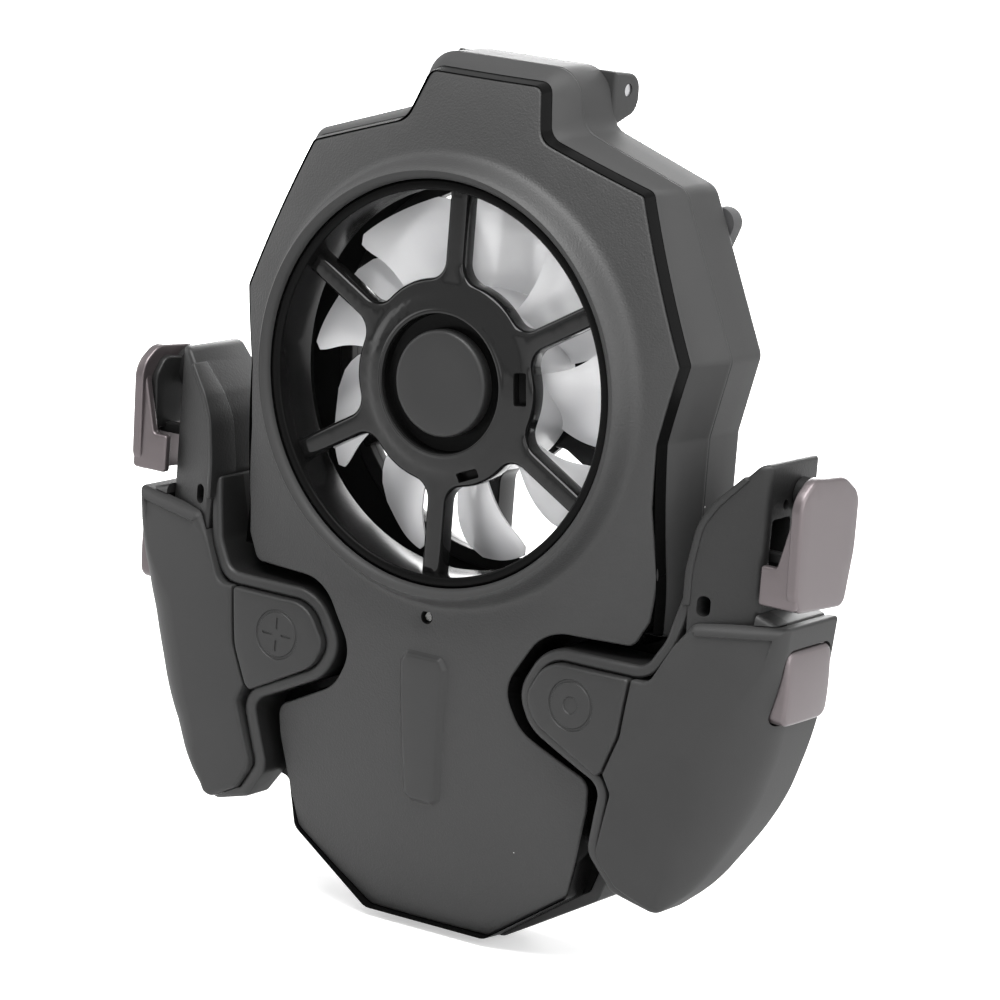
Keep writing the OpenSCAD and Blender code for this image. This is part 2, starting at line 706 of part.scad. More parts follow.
module wing_ball(drop) {
    translate([wing_dome[0], wing_dome[1], wing_h - wing_dome_r]) sphere(wing_dome_r - drop, $fn = 160);
}

// All below the wing's back, raised by lift
module below_back(lift) {
    low = wing_back_h + lift;
    translate([wing_in_x - eps, 0, 0]) rotate([90, 0, 90]) linear_extrude(30) polygon([
        [0, -5], [0, low], [slope_y, low], [-70, low + (slope_y + 70) * back_slope], [-70, -5]
    ]);
}

module bracket_block(grow, drop) {
    intersection() {
        slab(inset(bracket_outline, -grow), bracket_low - grow, collar_h);
        translate([0, 1, 0]) rotate([90, 0, 0]) linear_extrude(40) polygon([
            [20, 0], [20, bracket_top[1] - drop + 18 * bracket_slope],
            [60, bracket_top[1] - drop - 22 * bracket_slope], [60, 0]
        ]);
    }
}

module side_key_block(grow) {
    translate([key_face_x - 6, key_y[0] - grow, key_h[0] - grow])
        cube([8, key_y[1] - key_y[0] + 2 * grow, key_h[1] - key_h[0] + 2 * grow]);
}

module wing_base(s) {
    color("dimgray") side(s) difference() {
        union() {
            intersection() {
                slab(base_outline, tab_low_h, collar_h);
                wing_ball(lip_drop);
            }
            intersection() {
                slab(base_outline, wing_back_h, tab_top_h);
                translate([wing_in_x, -70, 0]) cube([30, 70, 30]);
            }
        }
        slab(inset(base_outline, lip_w), tab_top_h, collar_h);
        slab(inset(cover_outline, -seat_gap), tab_top_h, collar_h);
        difference() {
            intersection() {
                slab(inset(base_outline, wing_wall), 0, collar_h);
                translate([wing_in_x + wing_wall, -70, 0]) cube([30, 70, 30]);
            }
            below_back(wing_wall);
            for (y = rod_ys) translate([0, y - 2.4, 0]) cube([rod_out_x + 0.8, 4.8, rod_h + 2.4]);
            for (p = wing_screw_at) translate([p[0], p[1], 0]) cylinder(r = 2.9, h = seat_at(p) + screw_pad_t);
        }
        below_back(0);
        bracket_block(seat_gap, -1);
        side_key_block(part_gap);
        for (y = rod_ys) rod([wing_in_x - 1, y, rod_h], rod_d + 2 * fix_gap, rod_out_x - wing_in_x + 1 + seat_gap, "x");
        for (p = wing_screw_at) translate([p[0], p[1], 0]) {
            cylinder(d = head_d + 0.4, h = seat_at(p));
            cylinder(d = screw_d + 0.3, h = collar_h);
        }
    }
}

module wing_cover(s) {
    color("dimgray") side(s) difference() {
        intersection() {
            slab(cover_outline, wing_back_h, collar_h);
            wing_ball(0);
        }
        difference() {
            intersection() {
                slab(inset(cover_outline, wing_wall), 0, collar_h);
                wing_ball(wing_wall);
            }
            for (p = wing_screw_at) translate([p[0], p[1], seat_at(p) + screw_pad_t + seat_gap])
                cylinder(r = 2.2, h = collar_h);
        }
        slab(inset(base_outline, -seat_gap), 0, tab_top_h + seat_gap);
        translate([wing_in_x - 30, -70, 0]) cube([30, 70, tab_top_h + seat_gap]);
        below_back(0);
        bracket_block(part_gap / 2, -part_gap);
        side_key_block(part_gap);
        translate([24, board_y[0] - part_gap, tab_top_h])
            cube([12, board_y[1] - board_y[0] + 2 * part_gap, wing_board_top + part_gap - tab_top_h]);
        for (p = wing_screw_at) translate([p[0], p[1], 0]) cylinder(d = screw_d - 0.3, h = seat_at(p) + 5);
    }
}

module trigger_bracket(s) {
    color([0.13, 0.13, 0.13]) side(s) difference() {
        union() {
            bracket_block(0, 0);
            // Foot beside the base's floor
            slab([[bracket_side, -4, 0.5], [bracket_side, -18.4, 0.3], [37.6, -18.4, 0.3], [38.5, -11.5, 2],
                [40, -8.6, 1.5], [43.8, -3.4, 1]], wing_back_h, bracket_low + eps);
        }
        // Room for the switch, open to the side and at the foot
        intersection() {
            slab(inset(bracket_outline, 1.4), bracket_low + 1.4, collar_h);
            bracket_block(0, 1.6);
            translate([0, bracket_end_y, 0]) cube([60, 16.4, 30]);
        }
        translate([bracket_side - 3, -17.2, 8]) cube([4, 7, 4.4]);
        translate([bracket_side - 6, bracket_end_y - 1, bracket_low + 1.4]) cube([3, 4, 5]);
        rod([bracket_side - 7, pivot[0], pivot[1]], pin_d + 2 * fix_gap, 8, "x");
        // Oblong hole on the front face and round hole in the side
        translate([0, 0, bracket_low + 4]) linear_extrude(20) polygon(rounded([
            [wing_in_x + 3.1, -20.9, 0.8], [wing_in_x + 3.1, -23.6, 0.8],
            [wing_in_x + 1.2 + 0.2, -23.6, 0.8], [wing_in_x + 1.4, -20.9, 0.8]
        ]));
        rod([bracket_side - 2, pivot[0] - 1, pivot[1] + 3.2], 1.3, 3, "x");
    }
}

module guide_rods(s) {
    color("silver") side(s) for (y = rod_ys) {
        rod([rod_in_x, y, rod_h], rod_d, rod_out_x - rod_in_x, "x");
        rod([rod_in_x, y, rod_h], rod_head_r * 2, rod_head_len, "x");
    }
}

module wing_board(s) {
    color("darkgreen") side(s) {
        slab([[38.2, board_y[1], 0.3], [38.2, board_y[0], 0.3], [18, board_y[0] + 4.2, 0.3], [18, board_y[1], 0.3]],
            wing_board_h, wing_board_top);
        slab([[side_switch_x - 0.2, -29.2, 0.3], [side_switch_x - 0.2, board_y[1] - 1, 0.3],
            [36.5, board_y[1] - 1, 0.1], [36.5, board_y[1], 0.1], [38.6, -29.2, 0.3]], wing_board_h, wing_board_top);
    }
}

module key_switches(s) {
    color([0.1, 0.1, 0.1]) side(s) {
        // Back key
        translate([back_switch[0] - 2, back_switch[1] - 2, wing_board_top]) cube([4, 4, switch_t]);
        // Side key
        translate([side_switch_x - 3, -32.6, wing_board_h - 4.2]) cube([3, 3.6, 4.2]);
        // Trigger
        translate([bracket_side - 4.8, -18.4, bracket_low + 1.4]) cube([3.2, 5, 2.5]);
    }
}

module trigger_pin(s) {
    color("silver") side(s) rod([bracket_side - 7, pivot[0], pivot[1]], pin_d, trigger_x - bracket_side + 7, "x");
}

module wing_screws(s) {
    color("silver") side(s) for (p = wing_screw_at) translate([p[0], p[1], seat_at(p)]) {
        translate([0, 0, -head_t]) cylinder(d = head_d, h = head_t);
        cylinder(d = screw_d - 0.3, h = 4.6);
    }
}

module trigger(s) {
    edge = [
        [-6.8, 13.2, 1.5], [-16.2, 14.7, 6], [-20.6, 14.4, 1], [-21.2, 13, 1], [-20.8, 5.4, 2],
        [-14, 1.6, 4], [-7.4, 1.8, 2.5], [-4.9, 5.6, 3]
    ];
    color([0.55, 0.5, 0.49]) side(s) difference() {
        union() {
            translate([trigger_x, 0, 0]) rotate([90, 0, 90]) linear_extrude(trigger_t)
                polygon(rounded([for (i = [len(edge) - 1 : -1 : 0]) edge[i]]));
            slab([
                [trigger_x + trigger_t, -8, 0.5], [trigger_x + trigger_t, -20.6, 0.5],
                [bracket_side + 0.5, -20.6, 0.3], [bracket_side + 0.5, -16.6, 0.3],
                [bracket_side + 2, -16.6, 0.3], [trigger_x - 0.6, -8, 0.5]
            ], 11.9, 13.1);
            rod([boss_x, pivot[0], pivot[1]], 4.4, trigger_x - boss_x + eps, "x");
            translate([bracket_side - 2.6, finger[0], finger[1]]) cube([trigger_x - bracket_side + 2.7, 1.4, 1.4]);
        }
        rod([boss_x - 1, pivot[0], pivot[1]], pin_d + 2 * run_gap, trigger_x - boss_x + 1 + seat_gap, "x");
    }
}

module side_key(s) {
    color([0.5, 0.45, 0.43]) side(s) {
        translate([key_face_x - key_t, 0, 0]) rotate([90, 0, 90]) linear_extrude(key_t) polygon(rounded([
            [key_y[0], key_h[0], 1.5], [key_y[0], key_h[1], 1.5],
            [key_y[1], key_h[1], 1.5], [key_y[1], key_h[0], 1.5]
        ]));
        plunger = side_switch_x + side_key_travel + seat_gap;
        translate([plunger, -31.6, wing_board_h - 3]) cube([key_face_x - key_t - plunger + eps, 1.6, 1.6]);
    }
}

module back_key(s) {
    low = wing_board_top + switch_t + back_key_travel + seat_gap;
    color("dimgray") side(s) {
        difference() {
            intersection() {
                slab(inset(base_outline, lip_w + seat_gap), low, collar_h);
                translate([10, -46.4, 0]) cube([21.2, 15.6, 40]);
                wing_ball(0);
            }
            slab(inset(cover_outline, -part_gap), 0, collar_h);
            intersection() {
                slab(inset(base_outline, lip_w + 1.3), low - 1, collar_h);
                translate([10, -46.4, 0]) cube([18, 15.6, 40]);
                wing_ball(1.4);
            }
        }
        translate([back_switch[0], back_switch[1], low]) cylinder(d = 3, h = wing_h - 1.2 - low);
    }
}

front_cover();
rear_cover();
fan_grille();
hub_cap();
rear_guard();
motor_stator();
bearing_sleeve();
motor_board();
battery();
main_board();
light_pipe();
port_board();
charge_socket();
cover_screws();
grip_pads();
rod_bushes();
rod_springs();
hook_pin();
impeller();
magnet_ring();
motor_shaft();
top_hook();
hook_pad();
power_button();
wing_base(1);  // wing_base_right
wing_cover(1);  // wing_cover_right
trigger_bracket(1);  // trigger_bracket_right
guide_rods(1);  // guide_rods_right
wing_board(1);  // wing_board_right
key_switches(1);  // key_switches_right
trigger_pin(1);  // trigger_pin_right
wing_screws(1);  // wing_screws_right
trigger(1);  // trigger_right
side_key(1);  // side_key_right
back_key(1);  // back_key_right
wing_base(-1);  // wing_base_left
wing_cover(-1);  // wing_cover_left
trigger_bracket(-1);  // trigger_bracket_left
guide_rods(-1);  // guide_rods_left
wing_board(-1);  // wing_board_left
key_switches(-1);  // key_switches_left
trigger_pin(-1);  // trigger_pin_left
wing_screws(-1);  // wing_screws_left
trigger(-1);  // trigger_left
side_key(-1);  // side_key_left
back_key(-1);  // back_key_left
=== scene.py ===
from math import acos, atan2, ceil, cos, dist, hypot, pi, radians, sin, sqrt, tan

import bmesh
import bpy
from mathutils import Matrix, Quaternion, Vector, kdtree
from mathutils.geometry import delaunay_2d_cdt


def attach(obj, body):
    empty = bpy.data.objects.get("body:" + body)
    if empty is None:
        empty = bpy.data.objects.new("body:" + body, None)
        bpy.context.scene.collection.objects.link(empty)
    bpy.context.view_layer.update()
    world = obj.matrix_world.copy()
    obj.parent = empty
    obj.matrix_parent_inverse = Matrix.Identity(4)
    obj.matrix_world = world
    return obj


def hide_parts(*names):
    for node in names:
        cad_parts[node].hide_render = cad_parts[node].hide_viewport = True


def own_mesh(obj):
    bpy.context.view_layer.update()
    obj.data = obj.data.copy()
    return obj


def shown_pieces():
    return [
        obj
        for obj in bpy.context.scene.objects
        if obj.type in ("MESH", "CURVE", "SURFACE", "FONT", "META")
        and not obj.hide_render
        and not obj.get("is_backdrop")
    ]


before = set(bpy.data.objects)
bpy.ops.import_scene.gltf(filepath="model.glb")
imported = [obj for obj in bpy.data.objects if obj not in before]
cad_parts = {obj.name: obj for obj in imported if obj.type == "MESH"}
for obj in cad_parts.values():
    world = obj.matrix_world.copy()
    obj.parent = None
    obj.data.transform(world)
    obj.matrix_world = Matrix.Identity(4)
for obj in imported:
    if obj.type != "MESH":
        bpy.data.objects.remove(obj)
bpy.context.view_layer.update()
print("frame loaded:", len(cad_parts), "nodes")

mm = 0.001


# Places. All is drawn as on paper, in millimetres: x to the right, y up the face, height towards the viewer
def upright(side=1):
    return lambda x, y, height: (side * x * mm, -height * mm, y * mm)


def sideways(side=1):
    # Drawn as a section, y against height, and pulled along x
    return lambda y, height, x: (side * x * mm, -height * mm, y * mm)


def lying(x, height, y):
    # Drawn on the lower end and pulled up the face
    return x * mm, -height * mm, y * mm


def quarter(steps):
    # Angles of a quarter circle
    return [pi / 2 * k / steps for k in range(steps + 1)]


def shifted(surface, by):
    return lambda x, y: surface(x, y) + by


def clamped(t):
    return max(0.0, min(1.0, t))


# Outlines: clockwise corners as (x, y, radius)
def box(a, b, c, d, r):
    return [(a, c, r), (a, d, r), (b, d, r), (b, c, r)]


def placed(corners, angle, centre=(0, 0)):
    # Corners turned about the origin, then moved there
    c, s = cos(angle), sin(angle)
    return [(centre[0] + x * c - y * s, centre[1] + x * s + y * c, r) for x, y, r in corners]


def unit(x, y):
    size = hypot(x, y) or 1.0
    return x / size, y / size


def inset(corners, depth):
    moved = []
    for i, (px, py, r) in enumerate(corners):
        ax, ay, _ = corners[i - 1]
        bx, by, _ = corners[(i + 1) % len(corners)]
        e0, e1 = unit(px - ax, py - ay), unit(bx - px, by - py)
        nx, ny = e0[1] + e1[1], -e0[0] - e1[0]
        share = 1 + e0[1] * e1[1] + e0[0] * e1[0]
        convex = e0[0] * e1[1] - e0[1] * e1[0] < 0
        radius = max(0.12, r - depth if convex else r + depth)
        moved.append((px + depth * nx / share, py + depth * ny / share, radius))
    return moved


def roundCorner(a, p, b, r, steps):
    u, w = unit(a[0] - p[0], a[1] - p[1]), unit(b[0] - p[0], b[1] - p[1])
    half = acos(max(-1.0, min(1.0, u[0] * w[0] + u[1] * w[1]))) / 2
    r = min(r, 0.48 * tan(half) * min(dist(a[:2], p[:2]), dist(b[:2], p[:2])))
    m = unit(u[0] + w[0], u[1] + w[1])
    cx, cy = p[0] + m[0] * r / sin(half), p[1] + m[1] * r / sin(half)
    run = r / tan(half)
    a0 = atan2(p[1] + u[1] * run - cy, p[0] + u[0] * run - cx)
    a1 = atan2(p[1] + w[1] * run - cy, p[0] + w[0] * run - cx)
    sweep = (a1 - a0 + 3 * pi) % (2 * pi) - pi
    angles = [a0 + sweep * k / steps for k in range(steps + 1)]
    return [(cx + r * cos(a), cy + r * sin(a)) for a in angles]


def bothSides(corners):
    return corners + [(-x, y, r) for x, y, r in reversed(corners)]


class Outline:
    def __init__(self, corners, step=1.6, arc=6):
        self.corners, self.arc = corners, arc
        arcs = self.arcs(corners)
        self.gaps = [max(1, ceil(dist(a[-1], b[0]) / step)) for a, b in zip(arcs, arcs[1:] + arcs[:1])]

    def arcs(self, corners):
        threes = zip(corners[-1:] + corners[:-1], corners, corners[1:] + corners[:1])
        return [roundCorner(a, p, b, p[2], self.arc) for a, p, b in threes]

    def at(self, depth=0.0):
        arcs, points = self.arcs(inset(self.corners, depth)), []
        for i, gap in enumerate(self.gaps):
            points += arcs[i]
            (ax, ay), (bx, by) = arcs[i][-1], arcs[(i + 1) % len(arcs)][0]
            points += [(ax + (bx - ax) * k / gap, ay + (by - ay) * k / gap) for k in range(1, gap)]
        return points


def circle(radius, centre=(0, 0), count=96):
    angles = [2 * pi * k / count for k in range(count)]
    return [(centre[0] + radius * cos(a), centre[1] + radius * sin(a)) for a in angles]


def inside(loop, x, y):
    odd = False
    for (ax, ay), (bx, by) in zip(loop, loop[1:] + loop[:1]):
        if (ay > y) != (by > y) and x < (bx - ax) * (y - ay) / (by - ay) + ax:
            odd = not odd
    return odd


# A skin is a closed surface of rings, with caps that may have holes
class Skin:
    def __init__(self, place=None):
        self.place = place or upright()
        self.flat, self.points, self.faces, self.slots, self.slot = [], [], [], [], 0

    def ring(self, flat, height):
        start = len(self.points)
        for x, y in flat:
            self.flat.append((x, y))
            self.points.append(self.place(x, y, height(x, y) if callable(height) else height))
        return list(range(start, len(self.points)))

    def face(self, *corners):
        self.faces.append(corners)
        self.slots.append(self.slot)

    def wall(self, *rings):
        for a, b in zip(rings, rings[1:]):
            for k in range(len(a)):
                j = (k + 1) % len(a)
                self.face(a[k], a[j], b[j], b[k])

    def fill(self, outer, holes=(), height=0.0, step=3.0):
        loops = [outer, *holes]
        index = [i for loop in loops for i in loop]
        flat = [self.flat[i] for i in index]
        edges, start = [], 0
        for loop in loops:
            edges += [(start + k, start + (k + 1) % len(loop)) for k in range(len(loop))]
            start += len(loop)
        near = kdtree.KDTree(len(flat))
        for k, (x, y) in enumerate(flat):
            near.insert((x, y, 0), k)
        near.balance()
        edge, cuts = [self.flat[i] for i in outer], [[self.flat[i] for i in hole] for hole in holes]
        xs, ys = [p[0] for p in edge], [p[1] for p in edge]
        grid = []
        for row in range(int((max(ys) - min(ys)) / (step * 0.87)) + 1):
            for column in range(int((max(xs) - min(xs)) / step) + 1):
                x, y = min(xs) + (column + 0.5 * (row % 2)) * step, min(ys) + row * step * 0.87
                if near.find((x, y, 0))[2] <= 0.62 * step or not inside(edge, x, y):
                    continue
                if not any(inside(c, x, y) for c in cuts):
                    grid.append((x, y))
        flat += grid
        points, _, triangles, origins, *_ = delaunay_2d_cdt([Vector(p) for p in flat], edges, [], 1, 1e-6)
        number = []
        for p, origin in zip(points, origins):
            if origin and origin[0] < len(index):
                number.append(index[origin[0]])
            else:
                number.append(self.ring([(p.x, p.y)], height)[0])
        for t in triangles:
            x, y = sum(points[i].x for i in t) / 3, sum(points[i].y for i in t) / 3
            if not any(inside(c, x, y) for c in cuts):
                self.face(*[number[i] for i in t])

    # A solid over an outline, with rolled edges at both ends
    def block(self, outline, low, high, foot=0.3, edge=0.3, steps=4, step=3.0):
        lowAt = low if callable(low) else lambda x, y: low
        highAt = high if callable(high) else lambda x, y: high
        rings, angles = [], quarter(steps)
        for a in angles:
            rings.append(self.ring(outline.at(foot * (1 - sin(a))), shifted(lowAt, foot * (1 - cos(a)))))
        for a in angles:
            rings.append(self.ring(outline.at(edge * (1 - cos(a))), shifted(highAt, -edge * (1 - sin(a)))))
        self.wall(*rings)
        self.fill(rings[0], height=lowAt, step=step)
        self.fill(rings[-1], height=highAt, step=step)

    # A turned piece: profile points as (radius, height), with radius 0 for a pole
    def turned(self, profile, centre=(0, 0), count=96, closed=False):
        rings = [self.ring(circle(r, centre, count) if r else [centre], height) for r, height in profile]
        pairs = list(zip(rings, rings[1:])) + ([(rings[-1], rings[0])] if closed else [])
        for a, b in pairs:
            if len(a) == 1 or len(b) == 1:
                tip, loop = (a[0], b) if len(a) == 1 else (b[0], a)
                for k in range(count):
                    self.face(tip, loop[k], loop[(k + 1) % count])
            else:
                self.wall(a, b)

    def mesh(self, name, looks, sharp=34):
        mesh = bpy.data.meshes.new(name)
        mesh.from_pydata(self.points, [], self.faces)
        for look in looks:
            mesh.materials.append(finishes[look])
        mesh.polygons.foreach_set("material_index", self.slots)
        return finishMesh(mesh, sharp)

    def piece(self, name, looks, body=None, node=None, slot=None, sharp=34):
        return addPiece(name, self.mesh(name, looks, sharp), body, node)


def finishMesh(mesh, sharp=34):
    bm = bmesh.new()
    bm.from_mesh(mesh)
    bmesh.ops.remove_doubles(bm, verts=bm.verts, dist=2e-6)
    bmesh.ops.dissolve_degenerate(bm, edges=bm.edges, dist=1e-7)
    bmesh.ops.recalc_face_normals(bm, faces=bm.faces)
    bm.to_mesh(mesh)
    bm.free()
    mesh.shade_smooth()
    mesh.set_sharp_from_angle(angle=radians(sharp))
    return mesh


def dress(piece, body, node):
    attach(piece, body)
    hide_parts(node)


def addPiece(name, mesh, body=None, node=None):
    piece = bpy.data.objects.new(name, mesh)
    bpy.context.scene.collection.objects.link(piece)
    if body:
        dress(piece, body, node)
    return piece


def flatten(piece, sharp=34):
    # Turns a piece with modifiers into a plain mesh
    view = bpy.context.evaluated_depsgraph_get()
    view.update()
    mesh = bpy.data.meshes.new_from_object(piece.evaluated_get(view))
    piece.modifiers.clear()
    piece.data = mesh
    mesh.shade_smooth()
    mesh.set_sharp_from_angle(angle=radians(sharp))
    return piece


def carve(piece, cutter, sharp=34):
    tool = cutter.piece("cutter", ())
    cut = piece.modifiers.new("carve", "BOOLEAN")
    cut.object, cut.solver, cut.operation, cut.use_self = tool, "EXACT", "DIFFERENCE", True
    flatten(piece, sharp)
    bpy.data.objects.remove(tool)
    return piece


def merge(name, pieces, sharp=34):
    # One mesh out of several, all with the first one's materials
    bm = bmesh.new()
    for piece in pieces:
        bm.from_mesh(piece.data)
    mesh = bpy.data.meshes.new(name)
    bm.to_mesh(mesh)
    bm.free()
    for material in pieces[0].data.materials:
        mesh.materials.append(material)
    for piece in pieces:
        bpy.data.objects.remove(piece)
    mesh.set_sharp_from_angle(angle=radians(sharp))
    return mesh


# Node trees. Inputs and outputs are (label, socket kind) pairs
def newTree(name, kind, inputs, outputs):
    tree = bpy.data.node_groups.new(name, kind)
    for side, sockets in (("INPUT", inputs), ("OUTPUT", outputs)):
        for label, socket in sockets:
            tree.interface.new_socket(label, in_out=side, socket_type="NodeSocket" + socket)
    return tree, tree.nodes.new("NodeGroupInput"), tree.nodes.new("NodeGroupOutput")


def newNodes(tree, *kinds):
    return [tree.nodes.new(kind) for kind in kinds]


def mathNode(tree, operation, a, b=None, clamp=False):
    node = tree.nodes.new("ShaderNodeMath")
    node.operation, node.use_clamp = operation, clamp
    for socket, value in zip(node.inputs, (a, b)):
        if isinstance(value, bpy.types.NodeSocket):
            tree.links.new(value, socket)
        elif value is not None:
            socket.default_value = value
    return node.outputs[0]


# Shader groups, used by several finishes
def mouldedGrain():
    # Spark-eroded grain of a mould: fine bumps, and a slow drift in tone and gloss
    inputs = [("Position", "Vector"), ("Grain", "Float"), ("Drift", "Float")]
    outputs = [("Height", "Float"), ("Tone", "Float"), ("Gloss", "Float")]
    tree, given, out = newTree("mouldedGrain", "ShaderNodeTree", inputs, outputs)
    bumps, cells, drift = newNodes(tree, "ShaderNodeTexNoise", "ShaderNodeTexVoronoi", "ShaderNodeTexNoise")
    bumps.inputs["Detail"].default_value = 3.0
    bumps.inputs["Roughness"].default_value = 0.6
    drift.inputs["Detail"].default_value = 2.0
    for node, scale in ((bumps, "Grain"), (cells, "Grain"), (drift, "Drift")):
        tree.links.new(given.outputs["Position"], node.inputs["Vector"])
        tree.links.new(given.outputs[scale], node.inputs["Scale"])

    def mixed(a, b, share):
        first, second = mathNode(tree, "MULTIPLY", a, share), mathNode(tree, "MULTIPLY", b, 1 - share)
        return mathNode(tree, "ADD", first, second)

    tree.links.new(mixed(bumps.outputs[0], cells.outputs["Distance"], 0.65), out.inputs["Height"])
    tree.links.new(drift.outputs[0], out.inputs["Tone"])
    tree.links.new(mixed(drift.outputs[0], bumps.outputs[0], 0.5), out.inputs["Gloss"])
    return tree


def dustSpecks():
    # A few pale specks, as dust leaves on dark plastic
    inputs = [("Position", "Vector"), ("Spacing", "Float"), ("Size", "Float"), ("Share", "Float")]
    tree, given, out = newTree("dustSpecks", "ShaderNodeTree", inputs, [("Mask", "Float")])
    cells, split = newNodes(tree, "ShaderNodeTexVoronoi", "ShaderNodeSeparateColor")
    tree.links.new(given.outputs["Position"], cells.inputs["Vector"])
    tree.links.new(given.outputs["Spacing"], cells.inputs["Scale"])
    tree.links.new(cells.outputs["Color"], split.inputs[0])
    small = mathNode(tree, "LESS_THAN", cells.outputs["Distance"], given.outputs["Size"])
    few = mathNode(tree, "LESS_THAN", split.outputs[0], given.outputs["Share"])
    tree.links.new(mathNode(tree, "MULTIPLY", small, few), out.inputs["Mask"])
    return tree


def groupNode(tree, group, place, **values):
    node = tree.nodes.new("ShaderNodeGroup")
    node.node_tree = group
    tree.links.new(place.outputs["Object"], node.inputs["Position"])
    for label, value in values.items():
        node.inputs[label].default_value = value
    return node


def colourMix(tree, share, first, second):
    # First and second are colours or sockets
    node = tree.nodes.new("ShaderNodeMix")
    node.data_type = "RGBA"
    tree.links.new(share, node.inputs[0])
    for socket, value in ((node.inputs[6], first), (node.inputs[7], second)):
        if isinstance(value, bpy.types.NodeSocket):
            tree.links.new(value, socket)
        else:
            socket.default_value = (*value, 1)
    return node.outputs[2]


grainGroup, dustGroup = mouldedGrain(), dustSpecks()


def finish(
    name, colour, roughness, grain, depth, specular=0.5, metallic=0.0, tone=0.12, gloss=0.12, dust=0.0, **others
):
    material = bpy.data.materials.new(name)
    material.use_nodes = True
    tree = material.node_tree
    shader, place = tree.nodes["Principled BSDF"], tree.nodes.new("ShaderNodeTexCoord")
    surface = groupNode(tree, grainGroup, place, Grain=grain, Drift=90.0)
    if isinstance(colour, float):
        colour = (colour,) * 3
    darker, paler = [c * (1 - tone) for c in colour], [min(1.0, c * (1 + tone)) for c in colour]
    base = colourMix(tree, surface.outputs["Tone"], darker, paler)
    if dust:
        specks = groupNode(tree, dustGroup, place, Spacing=150.0, Size=0.03, Share=dust)
        base = colourMix(tree, specks.outputs["Mask"], base, (0.45, 0.45, 0.44))
    tree.links.new(base, shader.inputs["Base Color"])
    sheen = mathNode(tree, "MULTIPLY", surface.outputs["Gloss"], gloss)
    tree.links.new(mathNode(tree, "ADD", sheen, roughness - gloss / 2, clamp=True), shader.inputs["Roughness"])
    if depth:
        bump = tree.nodes.new("ShaderNodeBump")
        bump.inputs["Strength"].default_value = 1.0
        bump.inputs["Distance"].default_value = depth * mm
        tree.links.new(surface.outputs["Height"], bump.inputs["Height"])
        tree.links.new(bump.outputs["Normal"], shader.inputs["Normal"])
    for label, value in {"Metallic": metallic, "Specular IOR Level": specular, **others}.items():
        shader.inputs[label].default_value = value
    return material


# Linear colour or grey, roughness, cells of grain per metre, height of the grain in mm, and what else differs
looks = {
    "grainedPlastic": (0.022, 0.50, 3600, 0.075, {"specular": 0.32, "dust": 0.10}),
    "smoothPlastic": (0.026, 0.54, 5200, 0.010, {"specular": 0.18, "dust": 0.14}),
    "softPlastic": (0.018, 0.44, 6000, 0.006, {"specular": 0.30, "dust": 0.12}),
    # Near-black, with almost no reflection, for walls, grooves, bores, recess floors and the fan's ring: painted
    # shade
    "paintedShadeBlack": (0.003, 0.22, 2400, 0.004, {"specular": 0.04}),
    "glossBlack": (0.006, 0.13, 1500, 0.003, {"specular": 0.24, "dust": 0.10, "gloss": 0.06}),
    "matteCap": (0.016, 0.42, 6500, 0.006, {"specular": 0.26}),
    "bracketPlastic": (0.011, 0.46, 3000, 0.030, {"specular": 0.28, "dust": 0.10}),
    # Black plastic of the trigger's carrier, and painted shade on the rear cover's inner walls and the wing
    # tab's outer wall
    "blackPartsAndPaintedShade": (0.010, 0.38, 3000, 0.010, {"specular": 0.18}),
    "keyPlastic": (0.015, 0.46, 5600, 0.008, {"specular": 0.30}),
    "bladePlastic": (
        (0.88, 0.88, 0.89), 0.24, 900, 0.0, {"tone": 0.02, "gloss": 0.04, "Transmission Weight": 0.3, "IOR": 1.4}
    ),
    "bronzeMetal": ((0.104, 0.090, 0.093), 0.36, 7000, 0.012, {"metallic": 0.75, "tone": 0.06}),
    "steel": ((0.55, 0.55, 0.56), 0.28, 3000, 0.006, {"metallic": 1.0}),
    "brass": ((0.60, 0.42, 0.17), 0.30, 2600, 0.006, {"metallic": 1.0}),
    "copperCoil": ((0.58, 0.24, 0.11), 0.32, 5000, 0.030, {"metallic": 0.9}),
    "magnetGrey": ((0.045, 0.045, 0.05), 0.5, 4200, 0.015, {}),
    "padRubber": ((0.030, 0.030, 0.031), 0.7, 4200, 0.030, {}),
    "greenBoard": ((0.10, 0.16, 0.03), 0.38, 2200, 0.010, {}),
    "cellWrap": ((0.34, 0.35, 0.37), 0.34, 700, 0.050, {"metallic": 0.6}),
    "clearPipe": ((0.8, 0.8, 0.78), 0.15, 900, 0.004, {"Transmission Weight": 0.8}),
}
finishes = {name: finish(name, *look[:4], **look[4]) for name, look in looks.items()}
print("finishes:", len(finishes))


# Body: outline points, heights over the back, bores and places
body = {
    "tabHalf": 11.6, "tabTop": 40.8, "shoulder": (28.0, 28.1), "corner": (36.7, 8.0), "sideX": 34.4,
    "footY": 72.0, "footHalf": 9.6, "backH": 2.4, "floorH": 3.9, "partingH": 10.1, "rimLow": 9.95,
    "rimTop": 12.5, "faceH": 18.7, "wall": 1.5, "boreR": 26.0, "roll": 1.1, "ductR": 27.7, "ventR": 24.2,
    "bandDrop": 2.0, "ledY": -30.5, "rodYs": (-30.5, -45.0), "rodH": 5.9, "socketX": -3.0, "socketH": 6.7,
    "buttonX": 6.0, "hookY": 37.8, "hookH": 0.4, "screws": [(22.6, 21.6), (27.8, -19.5), (13.6, -65.0)],
}
screwPlaces = [(side * x, y) for x, y in body["screws"] for side in (1, -1)]
tabFoot = (body["tabHalf"] + 0.8, body["tabTop"] - 7.4)
sideX, footY = body["sideX"], body["footY"]
shoulderX, shoulderY = body["shoulder"]
cornerX, cornerY = body["corner"]
upperSide = [
    (body["tabHalf"] - 0.6, body["tabTop"], 4.4), (*tabFoot, 3), (shoulderX, shoulderY, 2.5),
    (cornerX, cornerY, 2), (sideX, -2, 3)
]
